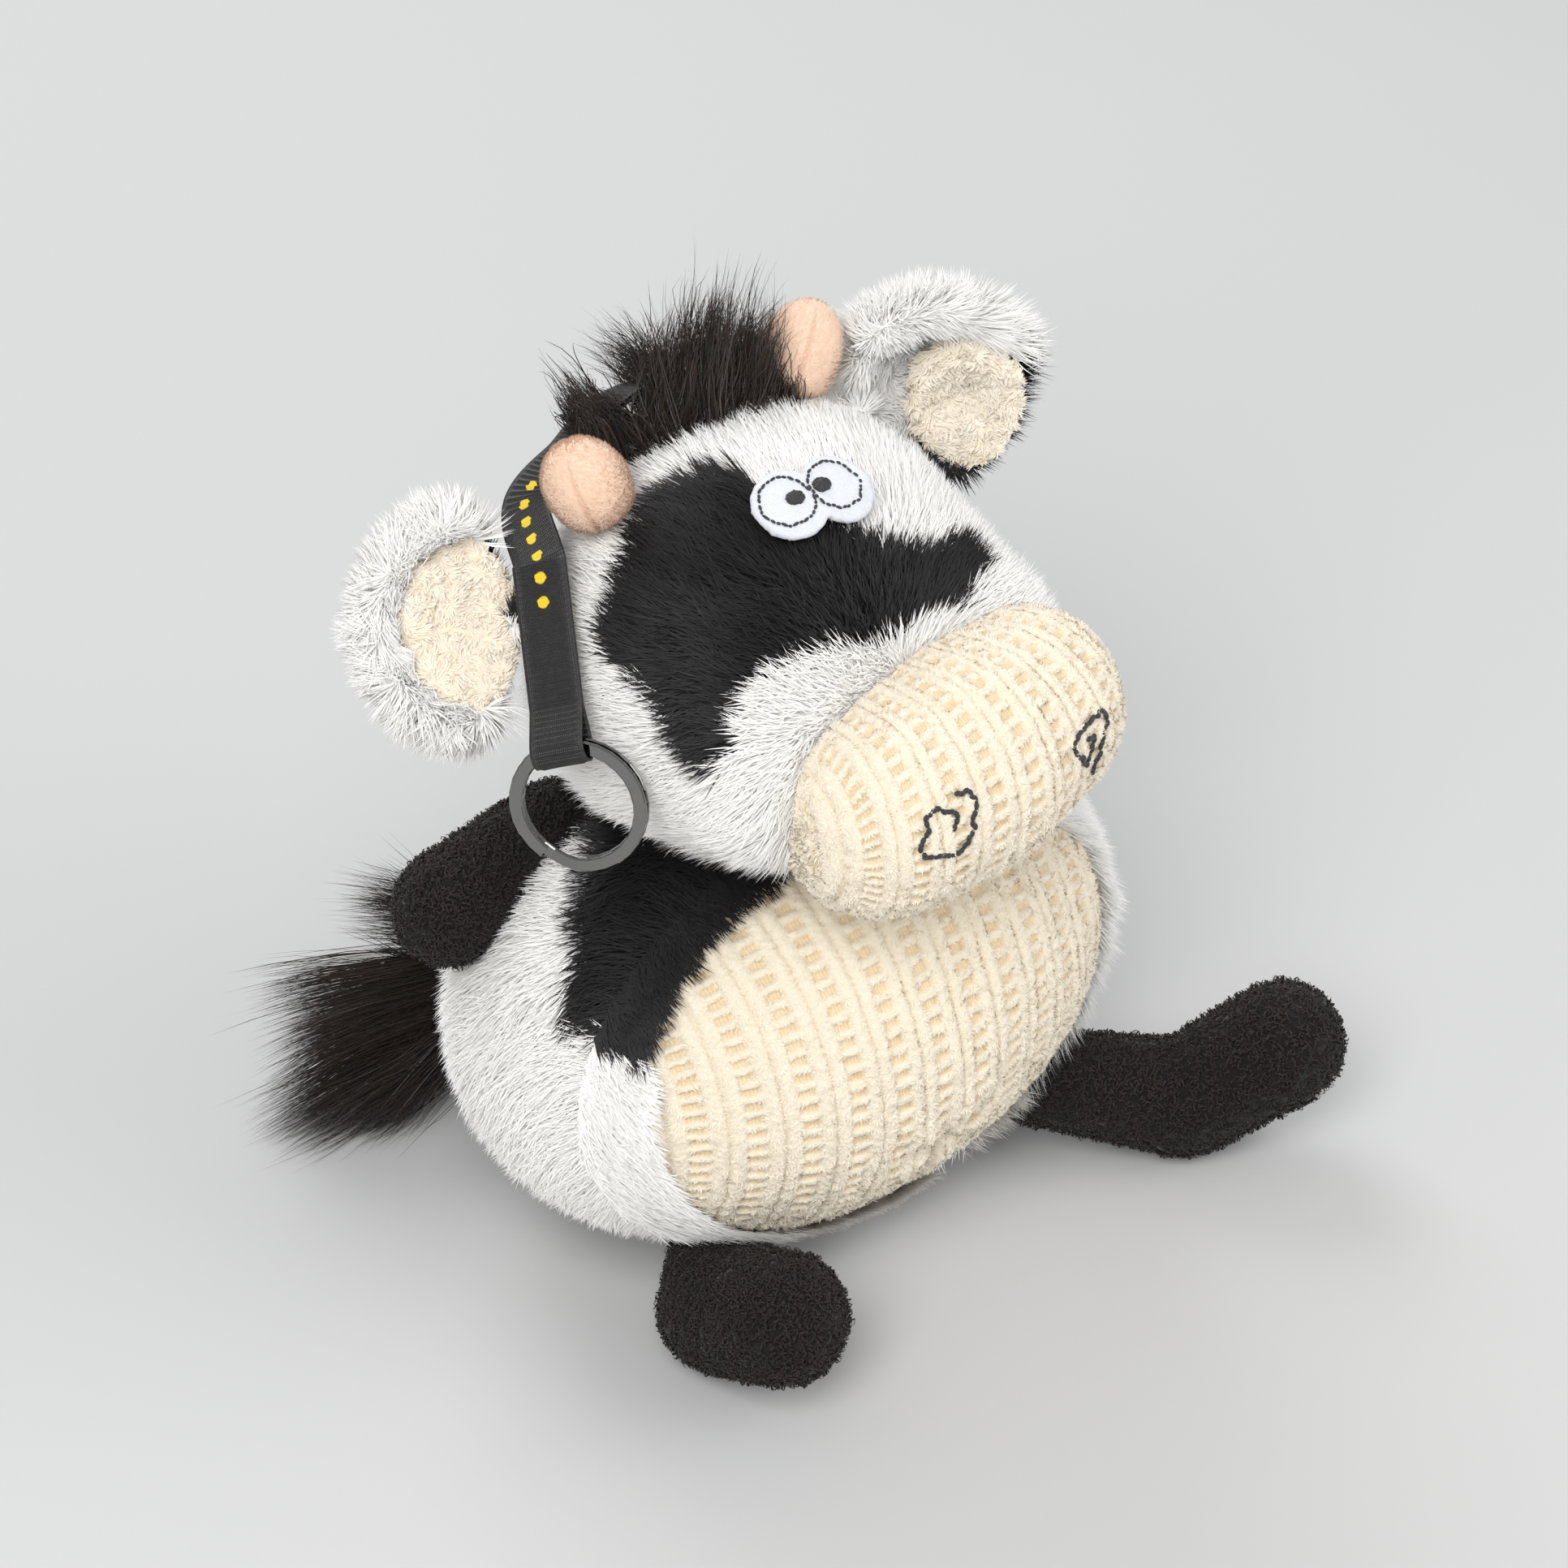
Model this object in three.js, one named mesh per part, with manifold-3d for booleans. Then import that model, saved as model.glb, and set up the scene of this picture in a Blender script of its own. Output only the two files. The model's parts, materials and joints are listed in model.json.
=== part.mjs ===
// A plush cow bag charm: a stuffed cow sitting on a flat seat, with a doubled ribbon
// sewn to its crown and a split ring held in the fold of the ribbon.
// Millimetres, +Z up, the face towards -Y, the cow's left towards +X,
// the origin in the middle of the seat.

import * as THREE from 'three';
import { ConvexGeometry } from 'three/addons/geometries/ConvexGeometry.js';
import { mergeVertices } from 'three/addons/utils/BufferGeometryUtils.js';
import Module from 'manifold-3d';

const wasm = await Module();
wasm.setup();

// Fits and cuts
const clearance = 0.3; // between two pieces that touch
const rootSlack = 0.1; // kept round a limb's root when the limb is cut
const overrun = 60; // how far a cutting solid passes what it cuts
const cutterSpan = 300; // side of a cutting block
const neckGap = 5.5; // between head and torso, filled by their pile
const weldGap = 0.001; // corners closer than this are one corner

// Cloth and filling
const furThick = 4;
const earFurThick = 3;
const terryThick = 2;
const knitThick = 2.4;
const boucleThick = 2;
const fleeceThick = 1.2;
const feltThick = 1.2;

// Torso: a ball wider than deep, with a knitted front
const torsoHalfWide = 71;
const torsoHalfDeep = 53;
const torsoHalfTall = 50.5;
const seatDepth = 0.5; // how much of the ball the flat seat takes
const panelInset = 2; // the knit lies this much below the pile
const panelSeamForward = 37; // where the panel's seam crosses the seat
const panelSeamTilt = THREE.MathUtils.degToRad(-9.6);
const panelSeamTurn = THREE.MathUtils.degToRad(-4); // the front is sewn in a little askew

// Neck
const neckRadius = 17;
const neckHeight = 102;
const neckSeatDrop = 10; // from the neck's middle down to its flat seat

// Head: a cranium and a snout in one hull, in the frame of the neck's axis
const headYaw = THREE.MathUtils.degToRad(9);
const headHalfWide = 47;
const headHalfDeep = 40;
const headHalfTall = 41.5;
const headBack = 6;
const headHeight = 124;
const snoutRadius = 15;
const snoutHalfSpan = 30;
const snoutForward = 23;
const snoutHeight = 119;

// Muzzle: a bolster across the snout
const muzzleMidRadius = 22.5;
const muzzleEndRadius = 20;
const muzzleHalfSpan = 19.5;
const muzzleForward = 40;
const muzzleHeight = 117.5;

// Horns
const hornRadius = 7.6;
const hornHalfTall = 10.5;
const hornAcross = 28;
const hornBack = 20;
const hornProud = 9; // the horn's middle above the head's surface
const hornLean = THREE.MathUtils.degToRad(28);

// Eye patch: one felt figure of two round lobes
const eyeRadius = 6.8;
const eyeHalfSpan = 5.1;
const eyeForward = 9;
const eyeHeight = 158;
const eyeAcross = -2.8;
const eyeFacing = THREE.MathUtils.degToRad(25);
const eyeSkew = THREE.MathUtils.degToRad(-14);

// Ears: a dished leaf of fur outside and terry inside
const earLength = 34.8;
const earHalfWide = 22.5;
const earDishRadius = 27;
const earDishDepth = 15;
const earDishForward = 8; // the middle of the dish before the root
const earRootRadius = 3.6;
const earProud = { right: 3.8, left: 3.1 }; // the root's middle outside the head's surface
const earBack = { right: 25, left: 18.5 };
const earHeight = { right: 139, left: 145.5 };
const liningShare = 0.62; // the lining against the whole leaf
const liningOut = { right: 0, left: 7 }; // how far from the root the lining starts
const liningDown = { right: 0, left: 3 };

// Arms
const shoulderAcross = 35;
const shoulderBack = 22;
const shoulderHeight = 85;
const shoulderRadius = 9;
const armReach = 25;
const armDrop = 7;
const handRadius = 11;
const armLifts = [0, 15, 30].map(THREE.MathUtils.degToRad);

// Legs: each lies in its own way
const hipAcross = 36.5;
const hipForward = 27;
const hipHeight = 17;
const hipRadius = 9.5;
const heelRadius = 12;
const toeRadius = 12.8;
const soleRelief = 0.5;
const thighReach = { right: 14, left: 34.5 };
const thighTurn = { right: THREE.MathUtils.degToRad(40), left: THREE.MathUtils.degToRad(49) };
const footReach = { right: 16, left: 18.5 };
const footTurn = { right: THREE.MathUtils.degToRad(-8), left: THREE.MathUtils.degToRad(58) };
const toeLift = { right: 8.5, left: 12 };
const legSwings = [-20, -10, 0, 10, 20].map(THREE.MathUtils.degToRad);

// Tail: a brush swept to the cow's right
const tailHeight = 20;
const tailRootRadius = 4;
const tailRootSunk = 2; // how far the root's middle stands out of the torso
const tailLength = 72;
const tailBellyAcross = 32;
const tailBellyBack = 14;
const tailBellyRadius = 11;
const tailTipRadius = 1.2;
const tailSpread = 20;

// Hair between the horns
const hairLockRadius = 4.5;
const hairTipRadius = 0.8;
const hairLength = 25;

// Ribbon and ring
const ribbonWide = 10;
const ribbonThick = 1.5; // two layers
const ribbonDrop = 33.7; // from the hinge line to the middle of the fold
const hingeGap = 0.5; // between the ribbon's two stretches
const foldWall = 0.75; // one layer
const ringOuterRadius = 12.5;
const wireRadial = 2.4;
const wireAxial = 0.9;
const coilGap = 0.6;
const wireChamfer = 0.22;
const crankTurn = THREE.MathUtils.degToRad(20); // half the arc in which the wire changes coils
const crankPlace = THREE.MathUtils.degToRad(60); // how far the crank stands from the ring's side

// Counts of sides
const ballSides = 22;
const ballRings = 12;
const limbSides = 12;
const limbRings = 8;
const coilSteps = 54;
const routeSteps = 14;

// Shares of other sizes and of unit directions, chosen by eye from the photograph

// Leaf outline: along the ear, half the width
const leafShares = [
  [0.05, 0.2], [0.14, 0.55], [0.27, 0.88], [0.43, 1.0], [0.6, 0.96], [0.78, 0.76], [0.92, 0.42], [1.0, 0.0],
];
// Each ear's way out of the head and the way its hollow faces
const earOutShares = { right: [-0.9, 0.4, 0.2], left: [0.79, -0.54, 0.3] };
const earFaceShares = { right: [-0.3, -0.75, 0.58], left: [-0.54, -0.84, -0.1] };
// Each lock's root on the head, then its way to the tip against the hair's length
const lockShares = [
  [-0.2, 0.5, 0.88, -0.09, 0.43, 0.35],
  [-0.06, 0.42, 0.9, 0.3, 0.4, 0.7],
  [0.08, 0.36, 0.9, 0.5, 0.35, 0.9],
  [0.22, 0.38, 0.88, 0.55, 0.25, 0.78],
  [0.36, 0.36, 0.84, 0.45, 0.14, 0.53],
  [0.1, 0.6, 0.8, 0.1, 0.7, 0.5],
];
// The hanging ribbon's way down and the way it faces, and the ring's way down
const hangDownShares = [-0.457, -0.573, -0.681];
const hangFaceShares = [-0.785, -0.285, 0.549];
const ringDownShares = [-0.14, -0.25, -0.957];
// The ribbon's way over the crown on the head, from its seam to the hinge line, and the way it faces
const ribbonRouteShares = [
  [0.19, 0.5, 0.82, 0.1, 0.5, 0.86],
  [0.13, 0.65, 0.92, 0.1, 0.5, 0.86],
  [0.0, 0.75, 0.93, 0.0, 0.45, 0.89],
  [-0.18, 0.76, 0.9, -0.2, 0.4, 0.89],
  [-0.37, 0.72, 0.85, -0.4, 0.35, 0.85],
  [-0.64, 0.68, 0.75, -0.65, 0.15, 0.74],
  [-0.84, 0.38, 0.687, ...hangFaceShares],
];
// Tail tips: along and back against the tail's length, up against its spread
const brushShares = [
  [0.96, 0.37, -0.25],
  [0.95, 0.31, 0.4],
  [0.75, 0.42, 1.25],
  [0.94, 0.24, -0.85],
];

// Solids

function vector(x, y, z) {
  return new THREE.Vector3(x, y, z);
}

function solid(geometry) {
  const bare = geometry.index ? geometry.toNonIndexed() : geometry.clone();
  for (const name of Object.keys(bare.attributes)) {
    if (name !== 'position') {
      bare.deleteAttribute(name);
    }
  }
  const merged = mergeVertices(bare, weldGap);
  const vertProperties = new Float32Array(merged.attributes.position.array);
  const triVerts = new Uint32Array(merged.index.array);
  return new wasm.Manifold(new wasm.Mesh({ numProp: 3, vertProperties, triVerts }));
}

function geometryOf(body) {
  const { vertProperties, triVerts } = body.getMesh();
  const geometry = new THREE.BufferGeometry();
  geometry.setAttribute('position', new THREE.BufferAttribute(new Float32Array(vertProperties), 3));
  geometry.setIndex(new THREE.BufferAttribute(new Uint32Array(triVerts), 1));
  const flat = geometry.toNonIndexed();
  flat.computeVertexNormals();
  return flat;
}

function ballGeometry(at, half, sides, rings) {
  const geometry = new THREE.SphereGeometry(1, sides, rings);
  geometry.rotateX(Math.PI / 2);
  geometry.scale(half.x, half.y, half.z);
  geometry.translate(at.x, at.y, at.z);
  return geometry;
}

function ball(at, half, sides = ballSides, rings = ballRings) {
  return solid(ballGeometry(at, half, sides, rings));
}

function roundBall(at, radius, sides = limbSides, rings = limbRings) {
  return ball(at, vector(radius, radius, radius), sides, rings);
}

function socketBall(at, radius, sides = limbSides, rings = limbRings) {
  // A hollow whose flat facets all stand clear of a ball of this radius.
  const facetShare = Math.cos(Math.PI / sides) * Math.cos(Math.PI / rings / 2);
  return roundBall(at, (radius + clearance) / facetShare, sides, rings);
}

function hull(parts, sides = limbSides, rings = limbRings) {
  const points = [];
  for (const { at, half } of parts) {
    const position = ballGeometry(at, half, sides, rings).attributes.position;
    for (let i = 0; i < position.count; i += 1) {
      points.push(new THREE.Vector3().fromBufferAttribute(position, i));
    }
  }
  return solid(new ConvexGeometry(points));
}

function knob(at, radius) {
  return { at, half: vector(radius, radius, radius) };
}

function halfSpace(at, turnX = 0, turnZ = 0) {
  // A block whose front face stands at the given place and faces +Y before it is turned.
  const block = new THREE.BoxGeometry(cutterSpan, cutterSpan, cutterSpan);
  block.translate(0, -cutterSpan / 2, 0);
  block.rotateX(turnX);
  block.rotateZ(turnZ);
  block.translate(at.x, at.y, at.z);
  return solid(block);
}

function swept(body, pivot, axis, angles) {
  // The body in every turned place at once, for cutting what moves past it.
  const places = angles.map((angle) => {
    const turned = new THREE.Matrix4().makeTranslation(pivot.x, pivot.y, pivot.z);
    turned.multiply(new THREE.Matrix4().makeRotationAxis(axis, angle));
    turned.multiply(new THREE.Matrix4().makeTranslation(-pivot.x, -pivot.y, -pivot.z));
    return body.transform(turned.elements);
  });
  return wasm.Manifold.union(places);
}

function placeFrame(object, place, xAxis, yAxis) {
  // Stands an object at a place with its X and Y axes along two directions.
  const x = xAxis.clone().normalize();
  const y = yAxis.clone().addScaledVector(x, -yAxis.dot(x)).normalize();
  object.quaternion.setFromRotationMatrix(new THREE.Matrix4().makeBasis(x, y, x.clone().cross(y)));
  object.position.copy(place);
}

function finish(color, roughness, metalness = 0) {
  return { color, roughness, metalness };
}

const whiteFur = finish(0xf2efe9, 0.95);
const blackPile = finish(0x151314, 0.95);
const creamKnit = finish(0xf0dcb4, 0.9);
const creamTerry = finish(0xf3e3c6, 0.95);
const blackBoucle = finish(0x1b191a, 0.95);
const peachFleece = finish(0xe9bd94, 0.9);
const whiteFelt = finish(0xf5f5f4, 0.95);
const filling = finish(0xf7f7f5, 1);
const blackRibbon = finish(0x141416, 0.7);
const chrome = finish(0xc9c9c7, 0.15, 1);

const charm = new THREE.Group();
const headGroup = new THREE.Group();
headGroup.rotation.z = headYaw;
charm.add(headGroup);

function addPiece(name, body, look, parent = charm) {
  const geometry = body.isBufferGeometry ? body : geometryOf(body);
  const mesh = new THREE.Mesh(geometry, new THREE.MeshStandardMaterial(look));
  mesh.name = name;
  parent.add(mesh);
  return mesh;
}

const sides = [
  { side: 'right', sign: -1 },
  { side: 'left', sign: 1 },
];

// Places

const torsoCentre = vector(0, 0, torsoHalfTall - seatDepth);
const headCentre = vector(0, headBack, headHeight);
const neckCentre = vector(0, 0, neckHeight);
const upright = vector(0, 0, 1);
const backward = vector(0, 1, 0);

function headPlace(across, back, up) {
  return vector(
    headCentre.x + across * headHalfWide,
    headCentre.y + back * headHalfDeep,
    headCentre.z + up * headHalfTall,
  );
}

function earRootPlace(side, sign) {
  const back = (earBack[side] - headCentre.y) / headHalfDeep;
  const up = (earHeight[side] - headCentre.z) / headHalfTall;
  const headSide = headPlace(sign * Math.sqrt(1 - back ** 2 - up ** 2), back, up);
  return headSide.setX(headSide.x + sign * earProud[side]);
}

// Forms, each drawn in by an inset for its inner surface

function torsoForm(inset) {
  const half = vector(torsoHalfWide - inset, torsoHalfDeep - inset, torsoHalfTall - inset);
  return ball(torsoCentre, half);
}

function torsoDome(gap) {
  // The torso's width turned all round, so that the head turns freely over it.
  const round = torsoHalfWide + gap;
  return ball(torsoCentre, vector(round, round, torsoHalfTall + gap));
}

function headForm(inset) {
  const cranium = {
    at: headCentre,
    half: vector(headHalfWide - inset, headHalfDeep - inset, headHalfTall - inset),
  };
  const snout = sides.map(({ sign }) => {
    return knob(vector(sign * snoutHalfSpan, -snoutForward, snoutHeight), snoutRadius - inset);
  });
  return hull([cranium, ...snout], ballSides, ballRings);
}

function muzzleForm(inset) {
  const middle = knob(vector(0, -muzzleForward, muzzleHeight), muzzleMidRadius - inset);
  const ends = sides.map(({ sign }) => {
    return knob(vector(sign * muzzleHalfSpan, -muzzleForward, muzzleHeight), muzzleEndRadius - inset);
  });
  return hull([middle, ...ends], ballSides, limbRings);
}

function hornForm(sign, inset) {
  const half = vector(hornRadius - inset, hornRadius - inset, hornHalfTall - inset);
  const geometry = ballGeometry(vector(0, 0, 0), half, limbSides, limbRings);
  const across = hornAcross / headHalfWide;
  const back = (hornBack - headCentre.y) / headHalfDeep;
  const headTop = headPlace(across, back, Math.sqrt(1 - across ** 2 - back ** 2)).z;
  geometry.rotateY(sign * hornLean);
  geometry.translate(sign * hornAcross, hornBack, headTop + hornProud);
  return solid(geometry);
}

function armPoints(sign) {
  const shoulder = vector(sign * shoulderAcross, shoulderBack, shoulderHeight);
  const hand = vector(shoulder.x + sign * armReach, shoulder.y, shoulder.z - armDrop);
  return { shoulder, hand };
}

function armForm(sign, inset) {
  const { shoulder, hand } = armPoints(sign);
  return hull([knob(shoulder, shoulderRadius - inset), knob(hand, handRadius - inset)]);
}

function legPoints(side, sign) {
  const hip = vector(sign * hipAcross, -hipForward, hipHeight);
  const heel = vector(
    hip.x + sign * thighReach[side] * Math.sin(thighTurn[side]),
    hip.y - thighReach[side] * Math.cos(thighTurn[side]),
    heelRadius - soleRelief,
  );
  const toe = vector(
    heel.x + sign * footReach[side] * Math.sin(footTurn[side]),
    heel.y - footReach[side] * Math.cos(footTurn[side]),
    heel.z + toeLift[side],
  );
  return { hip, heel, toe };
}

function legForm(side, sign, inset) {
  const { hip, heel, toe } = legPoints(side, sign);
  const thigh = hull([knob(hip, hipRadius - inset), knob(heel, heelRadius - inset)]);
  const foot = hull([knob(heel, heelRadius - inset), knob(toe, toeRadius - inset)]);
  return thigh.add(foot);
}

function limbCutter(root, radius, axis, angles) {
  // What a limb gives way to: the torso in every place of the limb's swing, but not at the root.
  return swept(torsoForm(-clearance), root, axis, angles).subtract(roundBall(root, radius + rootSlack));
}

// Hollows for the neck and the roots of limbs, tail and ears

const torsoBack = torsoHalfDeep * Math.sqrt(1 - ((tailHeight - torsoCentre.z) / torsoHalfTall) ** 2);
const tailRoot = vector(0, torsoBack + tailRootSunk, tailHeight);
const floorBlock = solid(
  new THREE.BoxGeometry(cutterSpan, cutterSpan, overrun).translate(0, 0, -overrun / 2),
);
const neckSeat = neckHeight - neckSeatDrop;
const neckBall = roundBall(neckCentre, neckRadius, ballSides, ballRings);
const headSocket = socketBall(neckCentre, neckRadius, ballSides, ballRings);
// The neck only turns in the torso, facet past facet, so that a closer hollow clears it.
const torsoSocket = roundBall(neckCentre, neckRadius + clearance, ballSides, ballRings);
const neckHollow = torsoSocket.subtract(floorBlock.translate([0, 0, neckSeat - clearance]));
let rootHollows = neckHollow.add(socketBall(tailRoot, tailRootRadius));
let headHollows = headSocket;
for (const { side, sign } of sides) {
  rootHollows = rootHollows.add(socketBall(armPoints(sign).shoulder, shoulderRadius));
  rootHollows = rootHollows.add(socketBall(legPoints(side, sign).hip, hipRadius));
  headHollows = headHollows.add(socketBall(earRootPlace(side, sign), earRootRadius));
}

// Torso

const panelSide = halfSpace(vector(0, -panelSeamForward, 0), panelSeamTilt, panelSeamTurn);
const seamGapPlace = vector(0, clearance - panelSeamForward, 0);
const panelSideWide = halfSpace(seamGapPlace, panelSeamTilt, panelSeamTurn);
const panelDepth = panelInset + knitThick;
const fillDepth = Math.max(furThick, panelDepth) + clearance;

const torsoShell = torsoForm(0).subtract(torsoForm(furThick));
const torsoCover = torsoShell.subtract(panelSideWide).subtract(floorBlock).subtract(rootHollows);
addPiece('torso_fur_cover', torsoCover, whiteFur);

const panelShell = torsoForm(panelInset).subtract(torsoForm(panelDepth));
addPiece('belly_panel', panelShell.intersect(panelSide).subtract(rootHollows), creamKnit);

addPiece('torso_stuffing', torsoForm(fillDepth).subtract(rootHollows), filling);
addPiece('neck_stuffing', neckBall.subtract(floorBlock.translate([0, 0, neckSeat])), filling);

// Arms and legs

for (const { side, sign } of sides) {
  const { shoulder } = armPoints(sign);
  const armCutter = limbCutter(shoulder, shoulderRadius, backward, armLifts.map((lift) => sign * lift));
  const armMouth = roundBall(shoulder.clone().setX(shoulder.x - sign * shoulderRadius), shoulderRadius / 2);
  const armShell = armForm(sign, 0).subtract(armForm(sign, boucleThick)).subtract(armMouth);
  addPiece(`arm_cover_${side}`, armShell.subtract(armCutter), blackBoucle);
  const armFill = armForm(sign, boucleThick + clearance).subtract(armCutter);
  addPiece(`arm_stuffing_${side}`, armFill, filling);

  const { hip } = legPoints(side, sign);
  const legCutter = limbCutter(hip, hipRadius, upright, legSwings);
  const legMouth = roundBall(hip.clone().setY(hip.y + hipRadius), hipRadius / 2);
  const legShell = legForm(side, sign, 0).subtract(legForm(side, sign, boucleThick)).subtract(legMouth);
  addPiece(`leg_cover_${side}`, legShell.subtract(legCutter).subtract(floorBlock), blackBoucle);
  const legFill = legForm(side, sign, boucleThick + clearance).subtract(legCutter);
  addPiece(`leg_stuffing_${side}`, legFill, filling);
}

// Head

const headFilling = headForm(furThick).subtract(torsoDome(neckGap + furThick));
const headSolid = headForm(0).subtract(torsoDome(neckGap));
addPiece('head_fur_cover', headSolid.subtract(headFilling).subtract(headHollows), whiteFur, headGroup);

const fillInset = furThick + clearance;
const headInner = headForm(fillInset).subtract(torsoDome(neckGap + fillInset));
addPiece('head_stuffing', headInner.subtract(headHollows), filling, headGroup);

const headSeat = headForm(-clearance);
const muzzleShell = muzzleForm(0).subtract(muzzleForm(knitThick));
addPiece('muzzle_cover', muzzleShell.subtract(headSeat), creamKnit, headGroup);
addPiece('muzzle_stuffing', muzzleForm(knitThick + clearance).subtract(headSeat), filling, headGroup);

// Horns

let hornSeats = headSeat;
for (const { side, sign } of sides) {
  const hornShell = hornForm(sign, 0).subtract(hornForm(sign, fleeceThick));
  addPiece(`horn_cover_${side}`, hornShell.subtract(headSeat), peachFleece, headGroup);
  const hornFill = hornForm(sign, fleeceThick + clearance).subtract(headSeat);
  addPiece(`horn_stuffing_${side}`, hornFill, filling, headGroup);
  hornSeats = hornSeats.add(hornForm(sign, -clearance));
}

// Eye patch

function eyeOutline() {
  const outline = new THREE.Shape();
  const waist = Math.acos(eyeHalfSpan / eyeRadius);
  outline.absarc(eyeHalfSpan, 0, eyeRadius, waist - Math.PI, Math.PI - waist, false);
  outline.absarc(-eyeHalfSpan, 0, eyeRadius, waist, Math.PI * 2 - waist, false);
  return outline;
}

const eyeColumn = new THREE.ExtrudeGeometry(eyeOutline(), {
  depth: overrun * 2,
  bevelEnabled: false,
  curveSegments: limbRings,
});
eyeColumn.translate(0, 0, -overrun);
eyeColumn.rotateZ(eyeSkew);
eyeColumn.rotateX(eyeFacing);
eyeColumn.translate(eyeAcross, -eyeForward, eyeHeight);
const eyeLayer = headForm(-clearance - feltThick).subtract(headSeat);
addPiece('eye_felt', eyeLayer.intersect(solid(eyeColumn)), whiteFelt, headGroup);

// Ears

function leafColumn(share, out = 0, down = 0) {
  const upper = leafShares.map(([along, wide]) => {
    return new THREE.Vector2(along * earLength * share, wide * earHalfWide * share);
  });
  const lower = upper.slice(0, -1).reverse().map((point) => new THREE.Vector2(point.x, -point.y));
  const column = new THREE.ExtrudeGeometry(new THREE.Shape([...upper, ...lower]), {
    depth: overrun,
    bevelEnabled: false,
  });
  column.translate(0, 0, -overrun / 2);
  column.rotateX(Math.PI / 2);
  column.translate(out, 0, -down);
  return solid(column);
}

function dish(inset) {
  const round = earDishRadius - inset;
  return ball(vector(earLength / 2, -earDishForward, 0), vector(round, earDishDepth - inset, round));
}

const beforeDish = halfSpace(vector(0, -earDishForward, 0));
const earRootBall = roundBall(vector(0, 0, 0), earRootRadius);
const earRootSeat = socketBall(vector(0, 0, 0), earRootRadius);

function earLayer(outer, inner, column) {
  return dish(outer).subtract(dish(inner)).intersect(column).subtract(beforeDish);
}

const earBackLayer = earLayer(0, earFurThick, leafColumn(1)).add(earRootBall);
const liningInset = earFurThick + clearance;
for (const { side, sign } of sides) {
  const ear = new THREE.Group();
  ear.name = `ear_${side}`;
  const earFacing = vector(...earFaceShares[side]);
  placeFrame(ear, earRootPlace(side, sign), vector(...earOutShares[side]), earFacing.negate());
  headGroup.add(ear);
  addPiece(`ear_back_${side}`, earBackLayer, whiteFur, ear);
  const liningColumn = leafColumn(liningShare, liningOut[side], liningDown[side]);
  const lining = earLayer(liningInset, liningInset + terryThick, liningColumn).subtract(earRootSeat);
  addPiece(`ear_lining_${side}`, lining, creamTerry, ear);
}

// Tail

const tailBelly = vector(-tailBellyAcross, tailRoot.y + tailBellyBack, tailHeight);
let brush = hull([knob(tailRoot, tailRootRadius), knob(tailBelly, tailBellyRadius)]);
for (const [along, back, up] of brushShares) {
  const reach = vector(-tailLength * along, tailLength * back, tailSpread * up);
  const lock = [knob(tailBelly, tailBellyRadius), knob(tailRoot.clone().add(reach), tailTipRadius)];
  brush = brush.add(hull(lock, limbSides / 2, limbRings / 2));
}
const tailCutter = torsoForm(-clearance).subtract(roundBall(tailRoot, tailRootRadius + rootSlack));
addPiece('tail', brush.subtract(tailCutter), blackPile);

// Ribbon: the upper stretch lies over the crown, the lower one hangs at the cheek

function strip(points, normals, endWay, wide, thick) {
  const corners = points.map((point, i) => {
    const before = points[Math.max(i - 1, 0)];
    const after = points[i + 1];
    const along = after ? after.clone().sub(before).normalize() : endWay;
    const across = along.clone().cross(normals[i]).normalize().multiplyScalar(wide / 2);
    const out = across.clone().cross(along).normalize().multiplyScalar(thick / 2);
    return [
      point.clone().add(across).add(out),
      point.clone().sub(across).add(out),
      point.clone().sub(across).sub(out),
      point.clone().add(across).sub(out),
    ];
  });
  const positions = [];
  const face = (a, b, c, d) => {
    for (const corner of [a, b, c, a, c, d]) {
      positions.push(corner.x, corner.y, corner.z);
    }
  };
  for (let i = 0; i + 1 < corners.length; i += 1) {
    for (let k = 0; k < 4; k += 1) {
      const next = (k + 1) % 4;
      face(corners[i][k], corners[i + 1][k], corners[i + 1][next], corners[i][next]);
    }
  }
  const last = corners[corners.length - 1];
  face(corners[0][0], corners[0][1], corners[0][2], corners[0][3]);
  face(last[3], last[2], last[1], last[0]);
  const geometry = new THREE.BufferGeometry();
  geometry.setAttribute('position', new THREE.Float32BufferAttribute(positions, 3));
  geometry.computeVertexNormals();
  return geometry;
}

const routePoints = ribbonRouteShares.map(([across, back, up]) => headPlace(across, back, up));
const routeNormals = ribbonRouteShares.map(([, , , x, y, z]) => vector(x, y, z).normalize());
const routeCurve = new THREE.CatmullRomCurve3(routePoints);
const normalCurve = new THREE.CatmullRomCurve3(routeNormals);
const upperPoints = routeCurve.getPoints(routeSteps);
const upperNormals = normalCurve.getPoints(routeSteps).map((normal) => normal.normalize());
const hangDown = vector(...hangDownShares).normalize();

function upperStrip(gap) {
  const wide = ribbonWide + gap * 2;
  const thick = ribbonThick + gap * 2;
  const [first, second, ...rest] = upperPoints;
  const start = first.clone().add(first.clone().sub(second).setLength(gap));
  return solid(strip([start, second, ...rest], upperNormals, hangDown, wide, thick));
}

addPiece('ribbon_upper', upperStrip(0).subtract(headSeat), blackRibbon, headGroup);

const hangTop = routePoints[routePoints.length - 1];
const hangFace = vector(...hangFaceShares);
const hangAcross = hangDown.clone().cross(hangFace).normalize();
const foldCentre = hangTop.clone().addScaledVector(hangDown, ribbonDrop);
const wireRadius = ringOuterRadius - wireRadial / 2;
const dip = wireRadius - Math.sqrt(wireRadius ** 2 - (ribbonWide / 2) ** 2);
const wireHalfDepth = wireAxial + coilGap / 2;
const foldBore = Math.hypot(wireRadial / 2 + dip / 2, wireHalfDepth) + clearance;

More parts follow.
